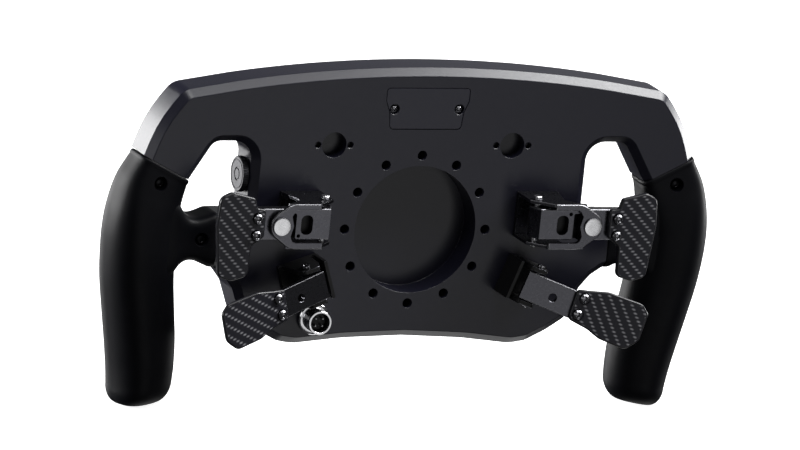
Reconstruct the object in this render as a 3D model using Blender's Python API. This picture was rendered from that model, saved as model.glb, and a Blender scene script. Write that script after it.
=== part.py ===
"""Racing wheel: an open-bottomed formula rim with magnetic shifters and twin clutch paddles.

Sizes are in millimetres and become metres when an object is made.  X runs to the driver's right,
Z runs up, and Y points out of the back of the wheel, away from the driver.  The origin is the
centre of the hub seat, the floor of the round recess that takes the hub adapter.
A side of +1 is the driver's right, and -1 is the driver's left.
"""
import math

import bmesh
import bpy
from mathutils import Matrix, Vector

MM = 0.001
GAP = 0.3                       # clearance between faces that would touch
SIDES = {"right": 1, "left": -1}

# Body
RECESS_RADIUS = 30.0
RECESS_DEPTH = 14.0             # hub seat to rear face
REAR = RECESS_DEPTH             # y of the rear face
BODY_THICKNESS = 20.0
FRONT = REAR - BODY_THICKNESS   # y of the housing's open front
CHAMFER = 3.5                   # 45 degree edge round the rear face
REAR_WALL = 4.0
TOP_CENTRE = 75.8               # height of the top edge above the hub axis
TOP_RADIUS = 650.0              # the top edge is a long arc
HUB_RADIUS = 41.0
BOLT_CIRCLE = 70.0
BOLT_COUNT = 12
BOLT_HOLE_RADIUS = 2.7
POCKET = (44.3, 39.8)           # round blind pockets above the hub
POCKET_RADIUS = 6.0
MID_DEPTH = REAR - BODY_THICKNESS / 2
PLATE_THICKNESS = 5.0
PLATE_INSET = 2.5
PLATE_BACK = FRONT - GAP
PLATE_FRONT = PLATE_BACK - PLATE_THICKNESS
HATCH_SCREW = (16.1, 56.8)
THREAD_HOLE = 1.5               # radius of every M3 screw hole
SCREW_SHANK = 1.2

# Seam between the rim bar and the grip, and the end of the spoke
SEAM_INNER = Vector((113.3, 22.5))
SEAM_OUTER = Vector((136.3, 34.0))
SPOKE_END = 97.3
SPOKE_MIDDLE = -5.8
TONGUE_WIDTH = 14.0
TONGUE_THICKNESS = 10.0
TONGUE_LENGTH = 14.0
GRIP_SCREW_SEAT = REAR - 3.3    # y of the floor under a grip screw's head
GRIP_SCREW_ON_SPOKE = (105.2, -5.1)

# Upper paddles
SHIFT_PIVOT = (52.9, 15.6)      # x, and depth behind the rear face
SHIFT_MAGNET = (77.3, 7.9)
SHIFT_SCREW_X = 89.5
SHIFT_SCREW_Z = (11.8, 3.8)
SHIFT_ARM_TOP = 22.6            # height of the arm's outer face behind the rear face
SHIFT_FACE_TOP = 25.6           # and of the bracket's
PIN_RADIUS = 1.25
BORE_RADIUS = 1.55

# Lower paddles, in a frame of their own: s runs along the arm, t across it
CLUTCH_ORIGIN = (75.45, -29.4, 25.5)
CLUTCH_DROOP = math.radians(19.6)
CLUTCH_TILT = math.radians(13.2)
CLUTCH_PIVOT = (-22.95, -5.9)   # along the tilted arm, and normal to it
CLUTCH_MIDDLE = -0.95           # the arm's centre line across
CLUTCH_SCREWS = (3.9, -4.1)     # places across the arm

# Driver's side
BUTTON_PLACES = [(66, 26), (66, 8), (66, -10), (48, 43)]
KNOB_PLACES = [(-30, -36), (0, -40), (30, -36)]
PLATE_SCREWS = [(106, 53), (73, -42)]

# Fittings on one side only
CONNECTOR = (46.3, -42.0)
THUMB_WALL = 83.3               # x of the opening's wall, which the thumb knob stands out of
THUMB_KNOB = (MID_DEPTH - 0.6, 23.5)    # y and z of its shaft


# ---------------------------------------------------------------- materials

def make_material(name, colour, roughness, metallic=0.0):
    material = bpy.data.materials.new(name)
    material.use_nodes = True
    shader = material.node_tree.nodes["Principled BSDF"]
    shader.inputs["Base Color"].default_value = (*colour, 1.0)
    shader.inputs["Roughness"].default_value = roughness
    shader.inputs["Metallic"].default_value = metallic
    return material


# ---------------------------------------------------------------- outlines

def rounded(corners, step=math.radians(30)):
    """Fillet the corners of a closed outline.  A corner is (x, y) or (x, y, radius)."""
    points = []
    count = len(corners)
    for i, corner in enumerate(corners):
        here = Vector(corner[:2])
        radius = corner[2] if len(corner) > 2 else 0.0
        if radius == 0.0:
            points.append(here)
            continue
        to_last = (Vector(corners[i - 1][:2]) - here).normalized()
        to_next = (Vector(corners[(i + 1) % count][:2]) - here).normalized()
        half = to_last.angle(to_next) / 2
        reach = radius / math.tan(half)
        centre = here + (to_last + to_next).normalized() * (radius / math.sin(half))
        start = here + to_last * reach - centre
        sweep = start.angle_signed(here + to_next * reach - centre)
        pieces = max(1, math.ceil(abs(sweep) / step))
        for k in range(pieces + 1):
            turned_by = Matrix.Rotation(-sweep * k / pieces, 2)
            points.append(centre + turned_by @ start)
    return points


def mirrored(half):
    """A half outline from the top centre to the bottom centre, with its mirror image."""
    other = [(-corner[0], *corner[1:]) for corner in reversed(half) if corner[0] > 0]
    return half + other


def inset(points, distance):
    """Move every edge of a clockwise outline inwards, with mitred corners."""
    moved = []
    count = len(points)
    for i, here in enumerate(points):
        before = (here - points[i - 1]).normalized()
        after = (points[(i + 1) % count] - here).normalized()
        normal_before = Vector((before.y, -before.x))
        normal_after = Vector((after.y, -after.x))
        mitre = (normal_before + normal_after).normalized()
        moved.append(here + mitre * (distance / mitre.dot(normal_before)))
    return moved


def circle(centre, radius, segments):
    return [Vector((centre[0] + radius * math.cos(math.tau * k / segments),
                    centre[1] + radius * math.sin(math.tau * k / segments)))
            for k in range(segments)]


def box_outline(low_x, high_x, low_y, high_y):
    return [Vector(p) for p in ((low_x, low_y), (low_x, high_y), (high_x, high_y), (high_x, low_y))]


def superellipse(half_width, half_depth, power, tilt, count):
    """A closed curve between an ellipse (power 2) and a rounded rectangle (power 5)."""
    points = []
    for k in range(count):
        angle = math.tau * k / count
        cosine, sine = math.cos(angle), math.sin(angle)
        p = half_width * math.copysign(abs(cosine) ** (2 / power), cosine)
        q = half_depth * math.copysign(abs(sine) ** (2 / power), sine)
        points.append((p * math.cos(tilt) - q * math.sin(tilt),
                       p * math.sin(tilt) + q * math.cos(tilt)))
    return points


# ---------------------------------------------------------------- solids

def along_y(a, b, depth):
    """A point given by x, z and y: for an outline seen from the front or the back."""
    return Vector((a, depth, b))


def along_x(a, b, depth):
    """A point given by y, z and x: for an outline seen from the side."""
    return Vector((depth, a, b))


def behind(a, b, depth):
    """A point given by x, z and its distance behind the rear face."""
    return Vector((a, REAR + depth, b))


def flange(a, b, depth):
    """A point given by x, distance behind the rear face, and z."""
    return Vector((a, REAR + b, depth))


def facing_driver(a, b, depth):
    """A point given by x, z and its distance in front of the plate, towards the driver."""
    return Vector((a, PLATE_FRONT - depth, b))


def clutch_flat(s, t, depth):
    """The clutch frame parallel to the rear face."""
    x = CLUTCH_ORIGIN[0] + s * math.cos(CLUTCH_DROOP) + t * math.sin(CLUTCH_DROOP)
    z = CLUTCH_ORIGIN[1] - s * math.sin(CLUTCH_DROOP) + t * math.cos(CLUTCH_DROOP)
    return Vector((x, REAR + depth, z))


def clutch_tilted(s, t, normal):
    """The clutch frame tilted with the arm, whose outer face is at normal 0."""
    flat = s * math.cos(CLUTCH_TILT) - normal * math.sin(CLUTCH_TILT)
    depth = CLUTCH_ORIGIN[2] + s * math.sin(CLUTCH_TILT) + normal * math.cos(CLUTCH_TILT)
    return clutch_flat(flat, t, depth)


def clutch_profile(s, normal, t):
    """The tilted frame for an outline seen from the arm's edge."""
    return clutch_tilted(s, t, normal)


def clutch_side(s, depth, t):
    """The flat frame for an outline seen from the arm's edge."""
    return clutch_flat(s, t, depth)


def add_loft(bm, rings):
    """Skin a row of rings of equal length, and close both ends."""
    made = [[bm.verts.new(point) for point in ring] for ring in rings]
    for low, high in zip(made, made[1:]):
        for i in range(len(low)):
            k = (i + 1) % len(low)
            bm.faces.new((low[i], low[k], high[k], high[i]))
    bm.faces.new(list(reversed(made[0])))
    bm.faces.new(made[-1])


def add_prism(bm, outline, low, high, place=along_y):
    add_loft(bm, [[place(p[0], p[1], depth) for p in outline] for depth in (low, high)])


def add_turned(bm, profile, centre, place=along_y, segments=24):
    """Turn a profile of (radius, depth) steps about an axis through centre."""
    rings = [[place(p.x, p.y, depth) for p in circle(centre, radius, segments)]
             for radius, depth in profile]
    add_loft(bm, rings)


def make_object(name, bm, side=1, material=None):
    if side < 0:
        bmesh.ops.scale(bm, vec=(-1, 1, 1), verts=bm.verts)
    bmesh.ops.scale(bm, vec=(MM, MM, MM), verts=bm.verts)
    bmesh.ops.recalc_face_normals(bm, faces=bm.faces)
    mesh = bpy.data.meshes.new(name)
    bm.to_mesh(mesh)
    bm.free()
    mesh.shade_smooth()
    mesh.set_sharp_from_angle(angle=math.radians(32))
    if material:
        mesh.materials.append(material)
    item = bpy.data.objects.new(name, mesh)
    bpy.context.collection.objects.link(item)
    return item


def prism_object(name, outline, low, high, place, side, material=None):
    bm = bmesh.new()
    add_prism(bm, outline, low, high, place)
    return make_object(name, bm, side, material)


def combine(item, tool, operation):
    modifier = item.modifiers.new(tool.name, "BOOLEAN")
    modifier.operation = operation
    modifier.object = tool
    modifier.solver = "EXACT"
    tool.hide_render = True
    tool.display_type = "WIRE"


def cut(item, bm, label, side=1):
    combine(item, make_object(f"{item.name}_{label}", bm, side), "DIFFERENCE")


def join(item, bm, label, side=1):
    combine(item, make_object(f"{item.name}_{label}", bm, side), "UNION")


def hang(items, joint_name, point, side):
    """Parent the pieces to an empty on their joint's axis, keeping their place in the world."""
    empty = bpy.data.objects.new(joint_name, None)
    empty.location = Vector((side * point[0], point[1], point[2])) * MM
    empty.empty_display_size = 0.01
    bpy.context.collection.objects.link(empty)
    for item in items:
        item.data.transform(Matrix.Translation(-empty.location))
        item.parent = empty
        for modifier in item.modifiers:
            tool = modifier.object
            tool.data.transform(Matrix.Translation(-empty.location))
            tool.parent = empty


# ---------------------------------------------------------------- body

def top_edge(x):
    return TOP_CENTRE - TOP_RADIUS + math.sqrt(TOP_RADIUS ** 2 - x ** 2)


def body_outline():
    """The wheel's outline, run on past the seams and the spoke ends, which are cut square later."""
    top = [(x, top_edge(x)) for x in (0, 23, 46, 69, 92)]
    rim_corner = [(119.6, 64.7, 9), (124.7, 58.1), (130.2, 49.6), (134.2, 40.2), (136.3, 34),
                  (138.9, 26), (118.3, 14.5)]
    opening = [(113.3, 22.5), (102.3, 40.8, 6), (THUMB_WALL, 40.8, 9), (THUMB_WALL, 6.0, 2)]
    spoke = [(104, 6.0), (104, -18.6), (97.2, -18.6, 3)]
    flank = [(91.5, -22.5, 3), (86.5, -28.5, 5), (81, -42.5, 7), (72.2, -48.4, 15)]
    lobe = [(62, -53.6, 10), (54, -54.9, 20), (30, -52.3, 60), (0, -51.1)]
    return rounded(mirrored(top + rim_corner + opening + spoke + flank + lobe))


def cavity_outline():
    top = [(0, 71.0), (60, 68.2), (97, 63.0), (97, 44.3)]
    flank = [(91, 44.3), (84.5, 42), (80, 36), (80, 2.8), (91.5, 2.8), (91.5, -15.4)]
    bottom = [(88, -17.6), (83, -26.5), (79, -35), (69, -39), (66, -46), (54, -51), (30, -48.8)]
    return rounded(mirrored(top + flank + bottom + [(0, -47.7)]))


def seam_axes():
    """Unit vectors along the seam, outwards, and down the rim away from it."""
    along = (SEAM_OUTER - SEAM_INNER).normalized()
    return along, Vector((along.y, -along.x))


def seam_point(along_seam, down_rim):
    along, down = seam_axes()
    middle = (SEAM_INNER + SEAM_OUTER) / 2
    return middle + along * along_seam + down * down_rim


def add_end_cuts(bm, side_sign, low, high):
    """Boxes that end the rim bar at the seam and the spoke at its joint with the grip."""
    seam = [seam_point(-19, 0), seam_point(19, 0), seam_point(19, 25), seam_point(-19, 25)]
    spoke = box_outline(SPOKE_END, 112, -30, 14)
    for outline in (seam, spoke):
        add_prism(bm, [(side_sign * p.x, p.y) for p in outline], low, high)


def tongue_outlines(extra=0.0, ends=0.0):
    """The two tongues that carry a grip, as outlines in x and z."""
    half = TONGUE_WIDTH / 2 + extra
    length = TONGUE_LENGTH + ends
    seam = [seam_point(-half, -3), seam_point(half, -3), seam_point(half, length),
            seam_point(-half, length)]
    spoke = box_outline(SPOKE_END - 3, SPOKE_END + length, SPOKE_MIDDLE - half, SPOKE_MIDDLE + half)
    return [seam, spoke]


def grip_screw_places():
    """Where the two screws pass through a grip into the tongues."""
    upper = seam_point(0.3, 7.6)
    return {"upper": (upper.x, upper.y), "spoke": GRIP_SCREW_ON_SPOKE}


def hatch_outline():
    return rounded(mirrored([(0, 66.8), (20.6, 66.8, 1.5), (20.6, 60.8), (18.4, 55.2),
                             (17.6, 47.4, 2), (0, 47.4)]))


def make_rear_housing(material):
    outline = body_outline()
    bm = bmesh.new()
    rings = [(outline, FRONT), (outline, REAR - CHAMFER), (inset(outline, CHAMFER), REAR)]
    add_loft(bm, [[along_y(p.x, p.y, depth) for p in ring] for ring, depth in rings])
    housing = make_object("rear_housing", bm, 1, material)

    bm = bmesh.new()
    add_prism(bm, cavity_outline(), FRONT - 1, REAR - REAR_WALL)
    for sign in SIDES.values():
        add_end_cuts(bm, sign, FRONT - 1, REAR + 1)
    cut(housing, bm, "hollow")

    bm = bmesh.new()
    inner = REAR - REAR_WALL + 2
    add_prism(bm, circle((0, 0), HUB_RADIUS, 28), -2, inner)
    add_prism(bm, box_outline(-24, 24, 43, 72.4), 3, inner)
    half = TONGUE_THICKNESS / 2
    for sign in SIDES.values():
        add_prism(bm, circle((sign * POCKET[0], POCKET[1]), 9, 10), 5, inner)
        add_prism(bm, circle((sign * 62, -2), 3, 8), 2.9, inner)
        for tongue in tongue_outlines():
            add_prism(bm, [(sign * p.x, p.y) for p in tongue], MID_DEPTH - half, MID_DEPTH + half)
    join(housing, bm, "bosses")

    bm = bmesh.new()
    recess = [(26, 0), (29, 1.4), (RECESS_RADIUS, 5), (RECESS_RADIUS, REAR + 1)]
    add_turned(bm, recess, (0, 0), segments=40)
    for k in range(BOLT_COUNT):
        angle = math.tau * k / BOLT_COUNT
        place = (BOLT_CIRCLE / 2 * math.sin(angle), BOLT_CIRCLE / 2 * math.cos(angle))
        add_prism(bm, circle(place, BOLT_HOLE_RADIUS, 10), 4, REAR + 1)
    add_prism(bm, inset(hatch_outline(), -GAP), REAR - 2.2, REAR + 1)
    add_prism(bm, circle(CONNECTOR, 5.9, 16), REAR - 5, REAR + 1)
    add_prism(bm, circle(THUMB_KNOB, 2.8, 10), THUMB_WALL - 7, THUMB_WALL + 5, along_x)
    for sign in SIDES.values():
        add_prism(bm, circle((sign * POCKET[0], POCKET[1]), POCKET_RADIUS, 20), 8, REAR + 1)
        for step in (-8, 8):
            place = (sign * (POCKET[0] + step), POCKET[1])
            add_prism(bm, circle(place, THREAD_HOLE, 8), REAR - 3, REAR + 1)
        for place in PLATE_SCREWS:
            add_prism(bm, circle((sign * place[0], place[1]), THREAD_HOLE, 8), FRONT - 1, 4)
        for place in grip_screw_places().values():
            add_prism(bm, circle((sign * place[0], place[1]), THREAD_HOLE, 8), 0.5, MID_DEPTH + 6)
    cut(housing, bm, "holes")

    bm = bmesh.new()
    add_prism(bm, box_outline(-12, 12, 50, 64), 4.5, REAR - 1)
    for sign in SIDES.values():
        add_prism(bm, circle((sign * HATCH_SCREW[0], HATCH_SCREW[1]), 1.3, 8), 5.5, REAR - 1)
    cut(housing, bm, "hatch_hollow")
    return housing


def make_front_plate(material):
    outline = inset(body_outline(), PLATE_INSET)
    low, high = PLATE_FRONT - 1, PLATE_BACK + 1
    edge = 0.8
    bm = bmesh.new()
    rings = [(inset(outline, edge), PLATE_FRONT), (outline, PLATE_FRONT + edge), (outline, PLATE_BACK)]
    add_loft(bm, [[along_y(p.x, p.y, depth) for p in ring] for ring, depth in rings])
    plate = make_object("front_plate", bm, 1, material)

    bm = bmesh.new()
    for sign in SIDES.values():
        add_end_cuts(bm, sign, low, high)
        for x, z in BUTTON_PLACES:
            add_prism(bm, circle((sign * x, z), 5.8, 14), low, high)
        for x, z in PLATE_SCREWS:
            seat = PLATE_FRONT + 2.6
            wide = [(2.9, low), (2.9, seat), (THREAD_HOLE, seat), (THREAD_HOLE, high)]
            add_turned(bm, wide, (sign * x, z), segments=10)
    for x, z in KNOB_PLACES:
        add_prism(bm, circle((x, z), 3.4, 10), low, high)
    cut(plate, bm, "holes")
    return plate


def make_circuit_board(material):
    """A C-shaped board that stands clear round the hub, open at the top for the hatch."""
    hub = HUB_RADIUS + 1.5
    start = math.acos(25.5 / hub)
    turns = 12
    inner = [(hub * math.cos(a), hub * math.sin(a))
             for a in (start - (start + math.pi / 2) * k / turns for k in range(turns))]
    outer = [(0, -46.0), (52, -46.0), (64, -36), (72, -28), (72, 36), (60, 48), (56, 57), (25.5, 57)]
    half = outer + inner + [(0, -hub)]
    left = [(-x, z) for x, z in reversed(half) if x > 0]
    ring = half[1:-1] + [half[-1]] + left + [half[0]]
    return prism_object("circuit_board", ring, 1.0, 2.6, along_y, 1, material)


# ---------------------------------------------------------------- grips

GRIP_COUNT = 24
# height, x, depth behind the rear face, half width, half thickness, squareness, tilt, seam slope
GRIP_STATIONS = [
    (28.25, 124.8, -10.0, 12.5, 10.7, 5.0, 0, 0.50),
    (24.0, 126.8, -10.0, 13.0, 10.9, 4.4, 1, 0.45),
    (17.0, 129.6, -10.1, 14.9, 12.0, 3.5, 4, 0.30),
    (9.0, 131.4, -10.1, 16.2, 13.3, 3.0, 8, 0.13),
    (0.0, 132.3, -10.3, 17.0, 14.3, 2.6, 11, 0.0),
    (-12.0, 132.0, -10.6, 17.2, 14.8, 2.5, 13, 0.0),
    (-26.0, 130.7, -11.4, 17.0, 14.9, 2.5, 14, 0.0),
    (-40.0, 128.4, -12.1, 16.6, 14.9, 2.5, 15, 0.0),
    (-54.0, 125.9, -12.9, 16.0, 14.8, 2.5, 15, -0.05),
    (-67.0, 124.2, -13.5, 15.0, 14.6, 2.5, 15, -0.10),
    (-75.5, 123.6, -13.8, 14.3, 14.2, 2.5, 15, -0.14),
]
# height of the middle, and the share of the full section, down the rounded butt
GRIP_BUTT = [(-79.2, 0.97), (-82.0, 0.89), (-83.8, 0.76), (-84.7, 0.58)]
# x, top, bottom, half thickness of the spoke's moulding
SPOKE_STATIONS = [
    (97.6, 6.8, -18.9, 10.4), (99.5, 6.8, -18.8, 10.5), (103, 5.4, -17.4, 10.2),
    (107, 4.4, -15.9, 10.0), (111, 5.2, -16.0, 10.1), (114.5, 8.3, -18.2, 10.6),
    (118, 13.0, -23.0, 11.2), (124, 15.0, -27.0, 11.2),
]


def grip_ring(station):
    height, x, depth, half_width, half_depth, power, tilt, slope = station
    ring = superellipse(half_width, half_depth, power, math.radians(tilt), GRIP_COUNT)
    return [Vector((x + p, REAR + depth + q, height + slope * p)) for p, q in ring]


def make_grip(side_name, material):
    side = SIDES[side_name]
    stations = list(GRIP_STATIONS)
    last = GRIP_STATIONS[-1]
    for height, share in GRIP_BUTT:
        stations.append((height, last[1], last[2], last[3] * share, last[4] * share, *last[5:]))
    rings = [grip_ring(station) for station in stations]
    down = seam_axes()[1]
    rings[0] = [p + Vector((down.x, 0, down.y)) * GAP for p in rings[0]]
    bm = bmesh.new()
    add_loft(bm, rings)
    grip = make_object(f"grip_{side_name}", bm, side, material)

    bm = bmesh.new()
    spoke = []
    for x, top, bottom, half_depth in SPOKE_STATIONS:
        ring = superellipse((top - bottom) / 2, half_depth, 5.0, 0, 20)
        spoke.append([Vector((x, MID_DEPTH + q, (top + bottom) / 2 + p)) for p, q in ring])
    add_loft(bm, spoke)
    join(grip, bm, "spoke", side)

    bm = bmesh.new()
    half = TONGUE_THICKNESS / 2 + GAP
    for tongue in tongue_outlines(GAP, GAP):
        add_prism(bm, tongue, MID_DEPTH - half, MID_DEPTH + half)
    cut(grip, bm, "sockets", side)

    bm = bmesh.new()
    for place in grip_screw_places().values():
        steps = [(THREAD_HOLE, MID_DEPTH), (THREAD_HOLE, GRIP_SCREW_SEAT), (2.9, GRIP_SCREW_SEAT),
                 (2.9, REAR + 6)]
        add_turned(bm, steps, place, segments=10)
    cut(grip, bm, "screw_holes", side)
    return grip


# ---------------------------------------------------------------- screws

def socket_screw(name, place, centre, side, head, top, tip, material, shank=SCREW_SHANK):
    """A cap screw: head is (radius, height), and top and tip are its two ends on the axis."""
    head_radius, head_height = head
    seat = top - head_height
    bm = bmesh.new()
    steps = [(shank, tip), (shank, seat), (head_radius, seat), (head_radius, top)]
    add_turned(bm, steps, centre, place, segments=10)
    screw = make_object(name, bm, side, material)
    bm = bmesh.new()
    add_prism(bm, circle(centre, head_radius * 0.55, 6), top - head_height * 0.6, top + 1, place)
    cut(screw, bm, "hex", side)
    return screw


# ---------------------------------------------------------------- shifters

def make_shifter(side_name, steel, dark_metal, carbon, bright):
    side = SIDES[side_name]
    bm = bmesh.new()
    add_prism(bm, box_outline(49, 69, GAP, 2.3), -2.9, 18.4, flange)
    bracket = make_object(f"shifter_bracket_{side_name}", bm, side, dark_metal)

    cheek = [(49, GAP), (49, 16.6), (58.5, SHIFT_FACE_TOP), (74, SHIFT_FACE_TOP), (74, 23.6),
             (70, 21.5), (66, 17), (69, GAP)]
    for label, low, high in (("top", 16.9, 18.4), ("bottom", -2.9, -1.4)):
        bm = bmesh.new()
        add_prism(bm, cheek, low, high, flange)
        join(bracket, bm, label, side)
    bm = bmesh.new()
    face = rounded([(58.5, 18.4), (72.5, 18.4, 4), (82.3, 11.6, 3.5), (82.3, 4.2, 3.5),
                    (72.5, -2.9, 4), (56, -2.9), (56, 0)])
    add_prism(bm, face, SHIFT_FACE_TOP - 2.2, SHIFT_FACE_TOP, behind)
    join(bracket, bm, "face", side)
    bm = bmesh.new()
    window = rounded([(45, 16.9), (58.6, 16.9), (58.6, 15.9), (70.5, 15.9, 2.5), (72.4, 12.6),
                      (71.2, 8), (72.4, 3.2), (71.2, 0, 2.5), (45, 0)])
    add_prism(bm, window, 23.0, 27.0, behind)
    add_prism(bm, circle(SHIFT_MAGNET, 3.6, 14), 22.0, 28.0, behind)
    add_prism(bm, circle(SHIFT_PIVOT, BORE_RADIUS, 10), 16, 20, flange)
    add_prism(bm, circle(SHIFT_PIVOT, BORE_RADIUS, 10), -4, -1, flange)
    cut(bracket, bm, "window", side)

    bm = bmesh.new()
    pin = [(PIN_RADIUS, -4.0), (PIN_RADIUS, 18.4 + GAP), (2.1, 18.4 + GAP), (2.1, 20.2)]
    add_turned(bm, pin, SHIFT_PIVOT, flange, 10)
    make_object(f"shifter_pin_{side_name}", bm, side, bright)

    bm = bmesh.new()
    stem = [(3.3, SHIFT_ARM_TOP + 0.7), (3.3, SHIFT_FACE_TOP + GAP), (4.3, SHIFT_FACE_TOP + GAP),
            (4.3, SHIFT_FACE_TOP + 1.2)]
    add_turned(bm, stem, SHIFT_MAGNET, behind, 20)
    make_object(f"shifter_magnet_{side_name}", bm, side, bright)

    bm = bmesh.new()
    x0, w0 = SHIFT_PIVOT
    hub = [(x0 + 3.4 * math.cos(a), w0 + 3.4 * math.sin(a))
           for a in (math.radians(d) for d in range(165, 376, 42))]
    profile = hub + [(58.5, 17.0), (97, 17.0), (97, SHIFT_ARM_TOP), (52.3, SHIFT_ARM_TOP)]
    add_prism(bm, profile, 0.9, 15.5, flange)
    arm = make_object(f"shifter_arm_{side_name}", bm, side, dark_metal)
    bm = bmesh.new()
    add_prism(bm, circle(SHIFT_PIVOT, BORE_RADIUS, 10), -1, 17, flange)
    slot = rounded([(60.7, 12.5, 2.6), (66.5, 12.5, 2.6), (66.5, 3.3, 2.6), (60.7, 3.3, 2.6)])
    add_prism(bm, slot, 18.6, 24, behind)
    add_prism(bm, circle((67.3, SHIFT_MAGNET[1] - side * 5.2), 0.9, 8), 19.6, 24, behind)
    crescent = rounded([(68.9, 13.4, 1), (72.6, 13.4, 1), (71.6, 8), (72.6, 2), (71.6, 0),
                        (67.2, 0), (68.9, 2)])
    add_prism(bm, crescent, 18.6, 24, behind)
    for z in SHIFT_SCREW_Z:
        add_prism(bm, circle((SHIFT_SCREW_X, z), THREAD_HOLE, 8), 16, 24, behind)
    cut(arm, bm, "holes", side)

    outline = rounded([(85.4, 15.9, 1), (89.9, 16.4, 2), (91.2, 21.1, 2), (103, 23.9, 3),
                       (108.6, 21.2, 3), (109.3, 8), (106.4, -15.8, 3), (99.5, -18, 4),
                       (91.7, -15.6, 3), (91.2, -1.4, 3), (85.4, 3.0, 2)])
    bm = bmesh.new()
    low, high = SHIFT_ARM_TOP + GAP, 25.9
    edge = inset(outline, 0.5)
    rings = [(edge, low), (outline, low + 0.5), (outline, high - 0.5), (edge, high)]
    add_loft(bm, [[behind(p.x, p.y, depth) for p in ring] for ring, depth in rings])
    paddle = make_object(f"shifter_paddle_{side_name}", bm, side, carbon)
    bm = bmesh.new()
    for z in SHIFT_SCREW_Z:
        steps = [(THREAD_HOLE, 20), (THREAD_HOLE, high - 0.9), (2.6, high - 0.9), (2.6, high + 1)]
        add_turned(bm, steps, (SHIFT_SCREW_X, z), behind, 10)
    cut(paddle, bm, "holes", side)

    screws = []
    for number, z in enumerate(SHIFT_SCREW_Z, 1):
        name = f"shifter_screw_{side_name}_{number}"
        screws.append(socket_screw(name, behind, (SHIFT_SCREW_X, z), side, (2.2, 2.4), 27.7,
                                   18.2, steel))
    pivot = (SHIFT_PIVOT[0], REAR + SHIFT_PIVOT[1], SHIFT_MAGNET[1])
    hang([arm, paddle] + screws, f"shifter_pivot_{side_name}", pivot, side)


# ---------------------------------------------------------------- clutches

def add_coil(bm, centre, radius, wire, low, high, turns, place):
    """A close spring wound round an axis, as one closed tube."""
    per_turn, sides = 8, 5
    rings = []
    for k in range(turns * per_turn + 1):
        angle = math.tau * k / per_turn
        height = low + (high - low) * k / (turns * per_turn)
        ring = []
        for j in range(sides):
            around = math.tau * j / sides
            reach = radius + wire * math.cos(around)
            ring.append(place(centre[0] + reach * math.cos(angle),
                              centre[1] + reach * math.sin(angle),
                              height + wire * math.sin(around)))
        rings.append(ring)
    add_loft(bm, rings)


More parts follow.
